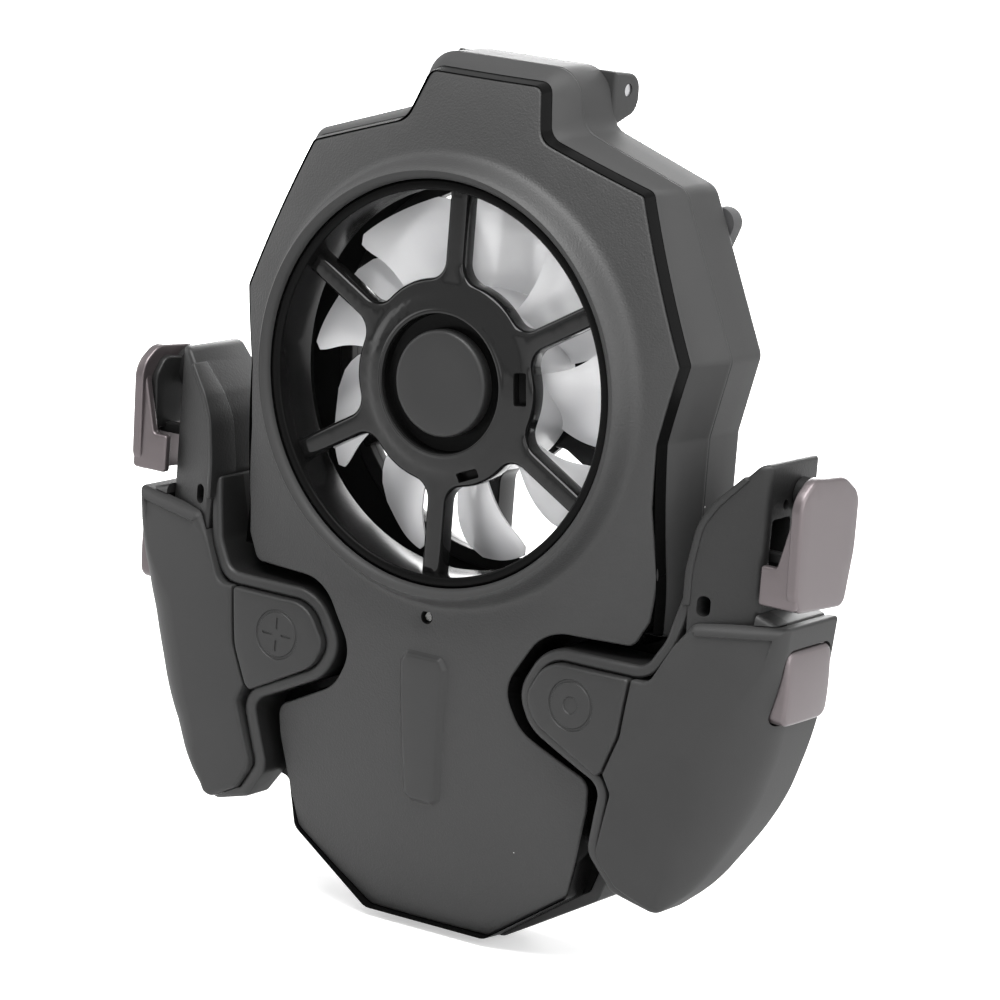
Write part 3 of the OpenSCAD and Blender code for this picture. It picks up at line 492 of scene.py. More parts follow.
rimCorners = bothSides(upperSide + [
    (sideX, -53, 3), (30, -58, 1), (26, -58.8, 1.5), (23.9, 7.5 - footY, 2),
    (body["footHalf"] + 0.4, -footY - 0.5, 2)
])
upperRimCorners = bothSides(upperSide + [(sideX, -27.5, 0.5)])
crestCorners = bothSides([
    (body["tabHalf"] - 2.75, body["tabTop"] - 1.7, 1.9), (tabFoot[0] - 1.7, tabFoot[1] - 0.85, 2.6),
    (shoulderX - 2.35, shoulderY - 0.35, 1.4), (cornerX - 2.95, cornerY - 0.65, 1.2),
    (sideX - 2.6, -2.7, 2.4), (sideX - 2.1, -27.5, 0.5)
])
faceCorners = bothSides([
    (body["tabHalf"] - 3.3, body["tabTop"] - 2.3, 1.2), (tabFoot[0] - 2.25, tabFoot[1] - 1.35, 2.5),
    (shoulderX - 2.9, shoulderY - 0.85, 1), (cornerX - 3.6, cornerY - 0.9, 1), (sideX - 3.2, -3, 2),
    (sideX - 3.4, -11, 3), (sideX - 2.6, -19.5, 3), (sideX - 3.2, -25.6, 2), (sideX - 5, -29, 1.6),
    (17.2, -29, 6), (11.9, -37.6, 4.6), (14.6, -42.8, 6), (24.4, -47.6, 2.2), (24.2, -51.5, 4),
    (21.4, 8.2 - footY, 1.5), (body["footHalf"] - 0.2, -footY, 2)
])


def softMax(a, b, blend=0.7):
    t = clamped(0.5 + (a - b) / (2 * blend))
    return b + (a - b) * t + blend * t * (1 - t)


def faceAt(x, y):
    lower = body["faceH"] - (x * x + (y + 30) ** 2) / 310
    upper = body["faceH"] + 3.7 - (x * x + y * y) / 200
    return softMax(upper, lower)


def frontFace(skin, plateau):
    # Grained face with its rolled edge, the collar round the fan and the light pipe's hole
    foot, radius, bore, led = body["partingH"], 0.3, body["boreR"], (0, body["ledY"])
    # The face's outer wall is painted near-black as shade
    skin.slot = 1
    start = skin.ring(plateau.at(0), shifted(faceAt, -radius))
    outer = skin.ring(plateau.at(-0.45), foot)
    skin.wall(outer, skin.ring(plateau.at(-0.25), 14.0), start)
    skin.slot = 0
    edge = [start]
    for a in quarter(6)[1:]:
        edge.append(skin.ring(plateau.at(radius * (1 - cos(a))), shifted(faceAt, -radius * (1 - sin(a)))))
    skin.wall(*edge)
    slope = [
        (29.8, 0), (29.4, 0.03), (29.05, 0.13), (28.75, 0.35), (28.48, 0.72), (28.25, 1.16),
        (28.02, 1.66), (27.8, 2.14), (27.58, 2.55), (27.35, 2.86), (27.1, 3.05)
    ]
    collar = [skin.ring(circle(r, count=160), shifted(faceAt, up)) for r, up in slope]
    turned = [(bore + body["roll"] * (1 - sin(a)), 20.65 + body["roll"] * cos(a)) for a in quarter(5)[1:]]
    collar += [skin.ring(circle(r, count=160), h) for r, h in turned + [(bore, 13.0), (bore + 1.5, 13.0)]]
    hole = ((0.9, 0), (0.76, 0.05), (0.7, 0.16), (0.7, 1.5))
    pipe = [skin.ring(circle(r, led, 32), shifted(faceAt, -drop)) for r, drop in hole]
    skin.fill(edge[-1], [collar[0], pipe[0]], faceAt, 2.2)
    # The collar is grained, its rolled edge smooth, and the bore's wall below it is painted near-black as shade
    for slot, first, last in ((0, 0, 11), (2, 10, 16), (1, 15, 18)):
        skin.slot = slot
        skin.wall(*collar[first:last])
    skin.wall(*pipe)
    # Inner side
    skin.slot = 2
    under = shifted(faceAt, -body["wall"])
    inner, hole = skin.ring(plateau.at(1.5), under), skin.ring(circle(27.5, count=160), under)
    skin.wall(collar[-1], hole)
    skin.fill(inner, [hole, pipe[-1]], under, 4)
    skin.wall(inner, skin.ring(plateau.at(1.05), foot), outer)


def holed(skin, top, high, topStep, under, low, underStep, r):
    # Two caps round one hole
    openings = [skin.ring(circle(r, count=64), h) for h in (high, low)]
    skin.fill(top, [openings[0]], high, topStep)
    skin.fill(under, [openings[1]], low, underStep)
    skin.wall(*openings)


def frontRim(skin):
    # The sloped side over the parting line, and the band between it and the face, painted near-black as shade
    corners = (upperRimCorners, crestCorners, inset(crestCorners, 0.5))
    rim, crest, bevel = (Outline(points, 1.5, 8) for points in corners)
    crest.gaps = bevel.gaps = rim.gaps
    low, high, near = rim.at(0), crest.at(0), bevel.at(0)
    foot, drop = body["partingH"] + 0.35, body["bandDrop"]

    def between(first, second, t, height):
        ring = []
        for (ax, ay), (bx, by), top in zip(first, second, high):
            ring += skin.ring([(ax + (bx - ax) * t, ay + (by - ay) * t)], height(crestAt(*top)))
        return ring

    crestAt = lambda x, y: faceAt(x * 0.968, y * 0.968) - drop
    side = [skin.ring(rim.at(d), h) for d, h in ((0.14, 10.12), (0.04, 10.18), (0.0, 10.3), (0.0, foot))]
    for t in (0.05, 0.2, 0.4, 0.6, 0.8, 0.95, 1.0):
        side.append(between(low, high, t, lambda top: foot + (top - foot) * (t + 0.10 * sin(pi * t))))
    skin.wall(*side)
    edge = [side[-1]]
    for t, up in ((0.04, 0.06), (0.09, 0.05), (0.12, -0.06)):
        edge.append(between(high, near, t, lambda top: top + up))
    skin.wall(*edge)
    skin.slot = 1
    band = [edge[-1]]
    for t in (0.3, 0.5, 0.7, 0.85, 1.0):
        rise = (drop + 0.1) * (t - 0.12 + 0.05 * sin(pi * t))
        band.append(between(high, near, t, lambda top: top - 0.06 + rise))
    band.append(skin.ring(near, body["rimTop"]))
    skin.wall(*band)
    under = skin.ring(rim.at(0.4), body["rimLow"])
    skin.wall(under, side[0])
    holed(skin, band[-1], body["rimTop"], 6, under, body["rimLow"], 8, body["ductR"])


def raisedBar(skin):
    top, half, length = body["ledY"] - 4.9, (3.6, 2.7), 20
    bar = Outline(bothSides([
        (half[0] - 0.9, top, 0.7), (half[0], top - 1.4, 0.7),
        (half[1], top - length + 0.8, 0.5), (half[1] - 1, top - length, 0.5)
    ]), 1.2, 6)
    edge = [
        (-0.35, -0.8), (-0.35, -0.05), (-0.12, 0.03), (0.05, 0.16), (0.2, 0.34), (0.34, 0.48), (0.5, 0.57),
        (0.7, 0.6)
    ]
    raised = [skin.ring(bar.at(d), shifted(faceAt, up)) for d, up in edge]
    skin.wall(*raised)
    skin.fill(raised[-1], [], shifted(faceAt, edge[-1][1]), 1.6)
    skin.fill(raised[0], [], shifted(faceAt, edge[0][1]), 3)


def frontCover():
    skin = Skin()
    frontFace(skin, Outline(faceCorners, 1.5, 7))
    frontRim(skin)
    # The plate that closes the recesses
    plate = Outline(inset(rimCorners, 1.6), 3, 4)
    top, under = (skin.ring(plate.at(), body["partingH"] - down) for down in (0, 1.5))
    skin.wall(top, under)
    holed(skin, top, body["partingH"], 6, under, body["partingH"] - 1.5, 8, body["ductR"] + 0.2)
    skin.slot = 3
    raisedBar(skin)
    # Screw bosses inside
    skin.slot = 2
    for x, y in screwPlaces:
        top = faceAt(x, y) - body["wall"] - 0.1
        skin.turned([(0, 8.7), (0.85, 8.7), (2.2, 8.7), (2.3, 8.8), (2.3, top), (0, top)], (x, y), 24)
    looks = ["grainedPlastic", "paintedShadeBlack", "smoothPlastic", "softPlastic"]
    skin.piece("frontCover", looks, "body", "front_cover", "body_plastic")


def rearCover():
    skin = Skin()
    rim = Outline(rimCorners, 2.0, 8)
    back, floor, top, edge = body["backH"], body["floorH"], body["partingH"] - 0.02, 1.1
    rings = [skin.ring(rim.at(edge * (1 - sin(a))), back + edge * (1 - cos(a))) for a in quarter(6)]
    for depth, height in (
        (0, 6.5), (0, top - 0.14), (0.1, top), (1.4, top), (1.5, top - 0.1), (1.5, floor + 0.6),
        (1.7, floor + 0.15), (2.1, floor)
    ):
        rings.append(skin.ring(rim.at(depth), height))
    skin.wall(*rings[:-3])
    # The inner walls and the vent's wall are painted near-black as shade
    skin.slot = 1
    skin.wall(*rings[-4:])
    r = body["ventR"]
    edge = ((0.35, back), (0.1, back + 0.1), (0, back + 0.35), (0, floor))
    vent = [skin.ring(circle(r + out, count=128), h) for out, h in edge]
    skin.wall(*vent)
    skin.slot = 0
    holes, foot, high = [], floor - 0.1, 8.4
    boss = [(0, foot), (2.4, foot), (2.4, high), (1.2, high), (1.2, floor + 1), (0, floor + 1)]
    edge = ((2.3, back), (2.12, back + 0.1), (2.1, back + 0.2), (2.1, floor - 0.15))
    for place in screwPlaces:
        sink = [skin.ring(circle(r, place, 32), h) for r, h in edge]
        skin.wall(*sink)
        skin.fill(sink[-1], [], floor - 0.15, 3)
        holes.append(sink[0])
        skin.turned(boss, place, 24)
    skin.fill(rings[0], [vent[0], *holes], back, 4)
    # The inner floor is painted near-black as shade
    skin.slot = 1
    skin.fill(rings[-1], [vent[-1]], floor, 6)
    skin.slot = 0
    # Lugs for the hook's pin
    lugR, front = 2.8, back + 1.2
    low, high = body["hookY"] - lugR, body["tabTop"]
    end = body["hookH"] - lugR
    for side in (1, -1):
        skin.place = sideways(side)
        corners = [(low - 1.9, front, 0.2), (high - 0.5, front, 0.2), (high - 1.1, end, 2.2), (low, end, 2.3)]
        skin.block(Outline(corners, 1.0, 8), 8.8, body["tabHalf"] + 0.6, 0.25, 0.5, 5, 2)
    skin.place = upright()
    piece = skin.piece("rearCover", ["smoothPlastic", "blackPartsAndPaintedShade"], "body", "rear_cover", "body_plastic")
    # Charge socket, button, rods and pin
    tools = Skin(lying)
    h = body["socketH"]
    for x, half, tall, r, arc in ((body["socketX"], 4.8, 1.9, 1.75, 6), (body["buttonX"], 1.95, 1.75, 0.3, 4)):
        hole = Outline(box(x - half, x + half, h - tall, h + tall, r), 2, arc)
        tools.block(hole, -footY - 2, -footY + 2.2, 0, 0, 1)
    tools.place = sideways()
    for y in body["rodYs"]:
        for x in (30, -36):
            tools.turned([(0, x), (1.6, x), (1.6, x + 6), (0, x + 6)], (y, body["rodH"]), 32)
    tools.turned([(0, -14), (0.85, -14), (0.85, 14), (0, 14)], (body["hookY"], body["hookH"]), 32)
    carve(piece, tools)


print("front cover")
frontCover()
print("rear cover")
rearCover()


# Geometry Nodes trees. Each is set through its named inputs and turned into a plain mesh
def pieceTree(name, inputs):
    geometry = ("Geometry", "Geometry")
    return newTree(name, "GeometryNodeTree", [geometry, *inputs, ("Material", "Material")], [geometry])


def endTree(tree, given, out, instances):
    real, painted = newNodes(tree, "GeometryNodeRealizeInstances", "GeometryNodeSetMaterial")
    tree.links.new(instances, real.inputs[0])
    tree.links.new(real.outputs[0], painted.inputs["Geometry"])
    tree.links.new(given.outputs["Material"], painted.inputs["Material"])
    tree.links.new(painted.outputs[0], out.inputs[0])
    return tree


def aroundAxisTree():
    # Repeats a piece round the fan's axis
    tree, given, out = pieceTree("aroundAxis", [("Count", "Int"), ("First angle", "Float")])
    line, index, turn = newNodes(tree, "GeometryNodeMeshLine", "GeometryNodeInputIndex", "ShaderNodeCombineXYZ")
    rotation, copies = newNodes(tree, "FunctionNodeEulerToRotation", "GeometryNodeInstanceOnPoints")
    line.inputs["Offset"].default_value = (0, 0, 0)
    tree.links.new(given.outputs["Count"], line.inputs["Count"])
    step = mathNode(tree, "DIVIDE", 2 * pi, given.outputs["Count"])
    along = mathNode(tree, "MULTIPLY", index.outputs[0], step)
    angle = mathNode(tree, "ADD", along, given.outputs["First angle"])
    tree.links.new(angle, turn.inputs["Y"])
    tree.links.new(turn.outputs[0], rotation.inputs[0])
    tree.links.new(line.outputs[0], copies.inputs["Points"])
    tree.links.new(given.outputs["Geometry"], copies.inputs["Instance"])
    tree.links.new(rotation.outputs[0], copies.inputs["Rotation"])
    return endTree(tree, given, out, copies.outputs[0])


def inRowTree():
    # Repeats a piece in a straight row along X
    tree, given, out = pieceTree("inRow", [("Count", "Int"), ("Pitch", "Float")])
    line, copies = newNodes(tree, "GeometryNodeMeshLine", "GeometryNodeInstanceOnPoints")
    step = tree.nodes.new("ShaderNodeCombineXYZ")
    tree.links.new(given.outputs["Count"], line.inputs["Count"])
    tree.links.new(given.outputs["Pitch"], step.inputs["X"])
    tree.links.new(step.outputs[0], line.inputs["Offset"])
    tree.links.new(line.outputs[0], copies.inputs["Points"])
    tree.links.new(given.outputs["Geometry"], copies.inputs["Instance"])
    return endTree(tree, given, out, copies.outputs[0])


def atPointsTree():
    # Puts a copy of another piece on every point
    tree, given, out = pieceTree("atPoints", [("Piece", "Object")])
    source, copies = newNodes(tree, "GeometryNodeObjectInfo", "GeometryNodeInstanceOnPoints")
    tree.links.new(given.outputs["Piece"], source.inputs["Object"])
    tree.links.new(given.outputs["Geometry"], copies.inputs["Points"])
    tree.links.new(source.outputs["Geometry"], copies.inputs["Instance"])
    return endTree(tree, given, out, copies.outputs[0])


def coilTree():
    # A wire coil along X on every point
    inputs = [(label, "Float") for label in ("Turns", "Radius", "Length", "Wire")]
    tree, given, out = pieceTree("coil", inputs)
    spiral, section = newNodes(tree, "GeometryNodeCurveSpiral", "GeometryNodeCurvePrimitiveCircle")
    swept, turned = newNodes(tree, "GeometryNodeCurveToMesh", "GeometryNodeTransform")
    copies = tree.nodes.new("GeometryNodeInstanceOnPoints")
    spiral.inputs["Resolution"].default_value = 20
    section.inputs["Resolution"].default_value = 8
    swept.inputs["Fill Caps"].default_value = True
    turned.inputs["Rotation"].default_value = (0, pi / 2, 0)
    joined = (("Turns", "Rotations"), ("Radius", "Start Radius"), ("Radius", "End Radius"), ("Length", "Height"))
    for label, socket in joined:
        tree.links.new(given.outputs[label], spiral.inputs[socket])
    tree.links.new(given.outputs["Wire"], section.inputs["Radius"])
    tree.links.new(spiral.outputs[0], swept.inputs["Curve"])
    tree.links.new(section.outputs[0], swept.inputs["Profile Curve"])
    tree.links.new(swept.outputs[0], turned.inputs["Geometry"])
    tree.links.new(given.outputs["Geometry"], copies.inputs["Points"])
    tree.links.new(turned.outputs[0], copies.inputs["Instance"])
    return endTree(tree, given, out, copies.outputs[0])


def grow(piece, tree, look, sharp=34, **values):
    # Runs a tree on a piece and keeps the plain mesh that comes out
    wanted = {label.replace("_", " "): value for label, value in values.items()}
    wanted["Material"] = finishes[look]
    modifier = piece.modifiers.new(tree.name, "NODES")
    modifier.node_group = tree
    for item in tree.interface.items_tree:
        if item.item_type == "SOCKET" and item.in_out == "INPUT" and item.name in wanted:
            modifier[item.identifier] = wanted[item.name]
    piece.update_tag()
    return flatten(piece, sharp)


def pointsMesh(name, places):
    mesh = bpy.data.meshes.new(name)
    mesh.from_pydata([upright()(*p) for p in places], [], [])
    return mesh


aroundAxis, inRow, atPoints, coil = aroundAxisTree(), inRowTree(), atPointsTree(), coilTree()


# Fan
fan = {
    "ringR": 25.9, "ductR": 24.6, "ringTop": 20.7, "ringLow": 13.6, "spokes": 6, "spokeW": 2.75,
    "spokeTop": 19.0, "hubLow": 16.4, "hubR": 13.4, "dishFloor": 18.2, "capR": 6.85, "capTop": 20.1,
    "blades": 9, "tipR": 23.7, "rotorR": 12.5, "rotorLow": 7.3, "rotorTop": 15.7, "strutLow": 2.65,
    "strutTop": 6.6,
}


def fanGrille():
    skin = Skin()
    # The ring, the dish's inner wall and the floors of the marks are painted darker and duller, as shade
    skin.slot = 1
    ringR, ductR, top, low = fan["ringR"], fan["ductR"], fan["ringTop"], fan["ringLow"]
    skin.turned([
        (ringR, top - 0.35), (ringR - 0.05, top - 0.17), (ringR - 0.2, top - 0.04), (ringR - 0.4, top),
        (ductR + 0.4, top), (ductR + 0.18, top - 0.06), (ductR + 0.04, top - 0.2), (ductR, top - 0.45),
        (ductR, low + 0.3), (ductR + 0.1, low + 0.06), (ductR + 0.3, low), (ringR + 1.1, low),
        (ringR + 1.2, low + 0.1), (ringR + 1.2, low + 1.1), (ringR + 1.1, low + 1.2), (ringR, low + 1.2)
    ], count=192, closed=True)
    # Hub and spokes are one star
    half, hubR, corners = fan["spokeW"] / 2, fan["hubR"], []
    tangent, end = radians(14), ductR + 0.5
    junction, reach = (hubR - half * sin(tangent)) / cos(tangent), hubR / cos(radians(16))
    spoke = [(junction, half, 2.6), (end, half, 0.05), (end, -half, 0.05), (junction, -half, 2.6)]
    for k in range(fan["spokes"]):  # clockwise
        corners += placed(spoke, radians(30 - 60 * k)) + placed([(reach, 0, 11.0)], radians(-60 * k))
    star = Outline(corners, 0.9, 8)

    def starTop(x, y):
        t = clamped((12.4 - hypot(x, y)) / 2.2)
        return fan["spokeTop"] + 0.7 * t * t * (3 - 2 * t)

    skin.slot = 0
    edges = [skin.ring(star.at(d), fan["hubLow"] + up) for d, up in ((0.25, 0), (0.06, 0.08), (0, 0.25))]
    for d, down in ((0, 0.75), (0.05, 0.5), (0.16, 0.28), (0.32, 0.12), (0.5, 0.03), (0.62, 0)):
        edges.append(skin.ring(star.at(d), shifted(starTop, -down)))
    skin.wall(*edges)
    deep = fan["dishFloor"]
    dish = [skin.ring(circle(r), h) for r, h in (
        (9.75, 19.7), (9.57, 19.73), (9.45, 19.84), (9.3, 19.9), (9.13, 19.9), (8.99, 19.84),
        (8.92, 19.7), (8.9, 19.4), (8.9, deep + 0.3), (8.75, deep + 0.06), (8.45, deep)
    )]
    skin.wall(*dish[:8])
    skin.slot = 1
    skin.wall(*dish[7:])
    skin.fill(dish[-1], [], deep, 5)
    skin.slot = 0
    marks = []
    for angle, r, wide, long in ((5.5, 11.75, 0.8, 2.1), (-67, 12.1, 0.6, 1.65)):
        notch = Outline(placed(box(r + wide, r - wide, long, -long, 0.25), radians(angle)), 0.8, 4)
        drops = ((0, 0), (0.07, 0.1), (0.12, 1.1))
        sunk = [skin.ring(notch.at(d), shifted(starTop, -drop)) for d, drop in drops]
        skin.wall(*sunk[:2])
        skin.slot = 1
        skin.wall(*sunk[1:])
        skin.fill(sunk[-1], [], shifted(starTop, -1.1), 2)
        skin.slot = 0
        marks.append(sunk[0])
    skin.fill(edges[-1], [dish[0], *marks], starTop, 0.8)
    skin.fill(edges[0], [], fan["hubLow"], 3)
    skin.piece("fanGrille", ["glossBlack", "paintedShadeBlack"], "body", "fan_grille", "gloss_black", 40)


def hubCap():
    skin = Skin()
    r, low, top = fan["capR"], fan["dishFloor"], fan["capTop"]
    skin.turned([
        (0, low), (r, low), (r, top - 0.65), (r - 0.04, top - 0.42), (r - 0.16, top - 0.2),
        (r - 0.36, top - 0.07), (r - 0.65, top - 0.01), (r * 0.6, top), (r * 0.3, top), (0, top)
    ])
    skin.piece("hubCap", ["matteCap"], "body", "hub_cap", "cap_plastic")


def fanBlade():
    # One swept blade; its section is a thin lens between the root and a rounded tip
    skin, across, along = Skin(), 14, 12
    root, tip = fan["rotorR"] - 0.5, fan["tipR"]
    rings = []
    for i in range(along + 1):
        u = i / along
        r = root + (tip - root) * u
        trim = 0.0 if u < 0.7 else 0.16 * (1 - sqrt(max(0.0, 1 - ((u - 0.7) / 0.3) ** 2)))
        ring = []
        for side in (1, -1):
            for k in range(across + 1):
                w = trim + (1 - 2 * trim) * (k / across if side == 1 else 1 - k / across)
                angle = radians(13 * u * u - 19 + (38 - 3 * u) * w)
                rise = 3.5 * sin((w - 0.5) * pi * 0.9) * (1.02 - 0.2 * u)
                thick = (0.95 - 0.35 * u) * (0.25 + 0.75 * sin(pi * (0.06 + 0.88 * k / across)))
                ring += skin.ring([(r * cos(angle), r * sin(angle))], 11.5 + rise + side * thick / 2)
        rings.append(ring)
    skin.wall(*rings)
    n = across + 1
    for ring in (rings[0], rings[-1]):
        for k in range(across):
            skin.face(ring[k], ring[k + 1], ring[2 * n - 2 - k], ring[2 * n - 1 - k])
    return skin.piece("blades", ["bladePlastic"], sharp=50)


def fanRotor():
    blades = grow(fanBlade(), aroundAxis, "bladePlastic", 50, Count=fan["blades"], First_angle=0.1)
    cup = Skin()
    r, low, top = fan["rotorR"], fan["rotorLow"], fan["rotorTop"]
    cup.turned([
        (1.0, top), (r - 1.2, top), (r - 0.6, top - 0.12), (r - 0.15, top - 0.5), (r, top - 1.1), (r, low + 0.2),
        (r - 0.15, low), (r - 0.9, low), (r - 1.0, low + 0.15), (r - 1.0, top - 1.3), (r - 1.3, top - 1.2),
        (1.0, top - 1.2)
    ], closed=True)
    hub = cup.piece("cup", ["bladePlastic"])
    addPiece("fanImpeller", merge("fanImpeller", [blades, hub], 50), "rotor", "impeller")


def rearGuard():
    # Plate for the motor, struts and the outer ring
    strut, ring = Skin(), Skin()
    half = [(11.6, 2.8, 0.8), (13.6, 1.5, 2.0), (24.0, 1.5, 0.1)]
    outline = Outline(half + [(x, -y, r) for x, y, r in reversed(half)], 1.5, 5)
    strut.block(outline, fan["strutLow"], fan["strutTop"], 0.25, 0.35, 3, 2)
    turns = {"Count": fan["spokes"], "First_angle": radians(30)}
    struts = grow(strut.piece("struts", ["blackPartsAndPaintedShade"]), aroundAxis, "glossBlack", **turns)
    inner, outer, low, high = body["ventR"], 26.2, 3.92, 5.1
    ring.turned([
        (outer, low + 0.08), (outer, high - 0.1), (outer - 0.1, high), (inner + 0.1, high),
        (inner, high - 0.1), (inner, low + 0.06), (inner + 0.1, low), (outer - 0.1, low)
    ], count=128, closed=True)
    r, well, wellR = fan["rotorR"], 4.35, 2.5
    ring.turned([
        (0, low), (r - 0.1, low), (r, low + 0.1), (r, high - 0.1), (r - 0.1, high), (wellR + 0.1, high),
        (wellR, high - 0.1), (wellR, well), (0, well)
    ])
    plate = ring.piece("guardRing", ["glossBlack"])
    addPiece("rearGuard", merge("rearGuard", [struts, plate]), "body", "rear_guard")


print("fan")
fanGrille()
hubCap()
fanRotor()
rearGuard()


# Fasteners and springs
fasteners = {
    "headR": 1.9, "headT": 1.2, "shankR": 0.85, "socketR": 0.85, "socketDeep": 0.75, "threadStep": 0.2,
    "threadDeep": 0.16, "coverLength": 8.3, "wingLength": 3.8,
    "pinR": 0.75, "pinFrom": 41.6, "pinTo": 50.2, "pivot": (-7.6, 6.2),
    "coilR": 1.55, "wire": 0.2, "coilTurns": 9.0, "coilLength": 16.3, "coilStart": 12.65, "pressed": 0.12,
}


def screwPiece(length):
    skin = Skin()
    r, t, s, deep = fasteners["headR"], fasteners["headT"], fasteners["shankR"], fasteners["socketDeep"]
    key = [skin.ring(circle(fasteners["socketR"], count=6), h) for h in (0.0, deep)]
    edge = [skin.ring(circle(q, count=32), h) for q, h in (
        (r - 0.25, 0), (r - 0.08, 0.07), (r, 0.25), (r, t - 0.1), (r - 0.1, t), (s, t)
    )]
    skin.wall(*edge)
    skin.fill(edge[0], [key[0]], 0, 3)
    skin.wall(*key)
    skin.fill(key[1], [], deep, 3)
    rings, h, n = [skin.ring(circle(s, count=32), t)], t + 0.3, 0
    while h < t + length - 0.4:
        rings.append(skin.ring(circle(s if n % 2 else s - fasteners["threadDeep"], count=32), h))
        h, n = h + fasteners["threadStep"], n + 1
    rings.append(skin.ring(circle(s * 0.5, count=32), t + length))
    skin.wall(*rings)
    skin.fill(rings[-1], [], t + length, 3)
    return skin.piece("screw", ["steel"])


def screws(name, length, places, body, node):
    template = screwPiece(length)
    piece = grow(addPiece(name, pointsMesh(name, places)), atPoints, "steel", Piece=template)
    bpy.data.objects.remove(template)
    dress(piece, body, node)


def triggerPin(side, name):
    # The pin ends inside the bracket, clear of its slanted inner wall
    skin = Skin(sideways(side))
    low, high, r = fasteners["pinFrom"], fasteners["pinTo"], fasteners["pinR"]
    profile = [(0, low), (r - 0.15, low), (r, low + 0.15), (r, high - 0.15), (r - 0.15, high), (0, high)]
    skin.turned(profile, fasteners["pivot"], 32)
    skin.piece("triggerPin_" + name, ["steel"], "wing_" + name, "trigger_pin_" + name, "steel")


def springs(side, name):
    # Each wing's pair of coils, fixed to the body at full length, though the real pair is pressed together as
    # the wing is pulled out
    length, start = fasteners["coilLength"], fasteners["coilStart"]
    places = [(start if side > 0 else -start - length, y, body["rodH"]) for y in body["rodYs"]]
    sizes = {"Turns": fasteners["coilTurns"], "Radius": fasteners["coilR"] * mm, "Length": length * mm}
    points = addPiece("rodSprings_" + name, pointsMesh("rodSprings", places))
    piece = grow(points, coil, "steel", Wire=fasteners["wire"] * mm, **sizes)
    dress(piece, "body", "rod_springs")
    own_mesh(piece)


print("fasteners")
coverPlaces = [(x, y, body["backH"] + 0.1) for x, y in screwPlaces]
screws("coverScrews", fasteners["coverLength"], coverPlaces, "body", "cover_screws")
for side, name in ((1, "right"), (-1, "left")):
    springs(side, name)
    triggerPin(side, name)


# Wings: drawn for the right side and mirrored for the left
wing = {
    "outer": [(50.6, -22.8, 0.4), (49.4, -36.0, 60), (45.2, -49.4, 40), (39.9, -58.8, 16)],
    "lip": [
        (35, -63, 1.5), (28.8, -61.2, 1.5), (25.3, -56.4, 3.2), (27.2, -47.3, 2.2), (16.2, -42, 6),
        (13.8, -37.5, 4.4), (17.6, -30.7, 6), (32.4, -30.7, 2.4), (34.6, -27, 4), (36.4, -19, 0.4)
    ],
    "seam": [
        (35.4, -62.8, 1.6), (30, -60, 1.5), (27.2, -56.2, 2.6), (29.4, -47.6, 1.6), (28.2, -45.2, 0.3),
        (30.3, -40, 3), (31.2, -32.4, 0.2), (33.6, -32.4, 2.2), (36.2, -27.4, 2), (38.4, -24, 1.4)
    ],
    "bracket": [
        (45.7, -3.2, 0.5), (45.7, -27, 0.3), (37.2, -27, 0.3), (36.9, -17.4, 14), (37.8, -11.6, 7),
        (39.6, -8.6, 6), (44.2, -3.4, 1.6)
    ],
    "bracketRidge": [
        (36.75, -22, 0.3), (36.75, -17.4, 13), (37.65, -11.5, 7), (39.5, -8.4, 6), (42.7, -4.9, 0.3),
        (43.3, -5.4, 0.3), (40.1, -9.1, 5), (38.45, -11.9, 6), (37.65, -17.4, 12), (37.65, -22, 0.3)
    ],
    "trigger": [
        (-4.0, 12.6, 3.4), (-4.5, 5.4, 4), (-6.9, 1.6, 3), (-14, 1.6, 12), (-21.3, 3.1, 1.6),
        (-20.7, 14.4, 1.6), (-18.4, 15.4, 2), (-6.4, 15.9, 3.4)
    ],
    "flange": [
        (51.6, -7.6, 0.5), (51.6, -20.4, 0.6), (46.2, -20.4, 0.5), (46.2, -15.4, 0.4), (48.4, -15.4, 0.6),
        (50.3, -7.6, 0.5)
    ],
    "carrier": [
        (-5.4, 12.0, 2), (-6.2, 4.4, 2), (-8.4, 3.0, 2), (-14.4, 3.0, 1.2), (-15.2, 13.4, 0.8), (-8, 13.9, 2.2)
    ],
    "strip": [(50.2, -25.6, 0.2), (49.0, -36, 0.2), (46.4, -36, 0.2), (46.4, -25.6, 0.2)],
    # Fillet of the cover, down its outer side and at the other corners
    "bulge": [
        (-62.8, 0.9), (-59, 3.2), (-54, 5.6), (-46, 7.0), (-40, 7.0), (-34, 5.4), (-30, 3.4), (-26, 1.6),
        (-22.8, 1.0)
    ],
    "bend": [1.0, 1.0, 1.0, 1.0, 0.9] + [0.45] * 8 + [1.0],
    "backH": 2.2, "tabLow": 10.5, "tabTop": 11.7, "wall": 1.5, "bead": 0.3, "innerX": 35.4, "bracketLow": 3.8,
    "screws": [(41, -37), (39.4, -50.6)], "sideKey": (-35.6, -26, 3, 13.5),
    "keyCentre": (23, -37.3), "keyLow": 15.1, "engraved": 0.14,
}
wing["base"] = [(x - 1.8, y + (0.8 if y < -60 else 0), r) for x, y, r in wing["outer"]] + wing["lip"]
wing["cover"] = wing["outer"] + wing["seam"]


def coverAt(x, y):
    radius, top = 100, 19.3
    return top - radius + sqrt(radius ** 2 - (x - 24) ** 2 - (y + 38) ** 2)


def readTable(table, at):
    # Straight lines between the points of a table
    for (a, low), (b, high) in zip(table, table[1:]):
        if at <= b or (b, high) == table[-1]:
            return low + (high - low) * clamped((at - a) / (b - a))


def backAt(x, y):
    return wing["backH"] + 7.6 * max(0.0, (-45 - y) / 18) ** 1.5


def slopeAt(x, y):
    return 16.6 - 0.41 * (x - 38)


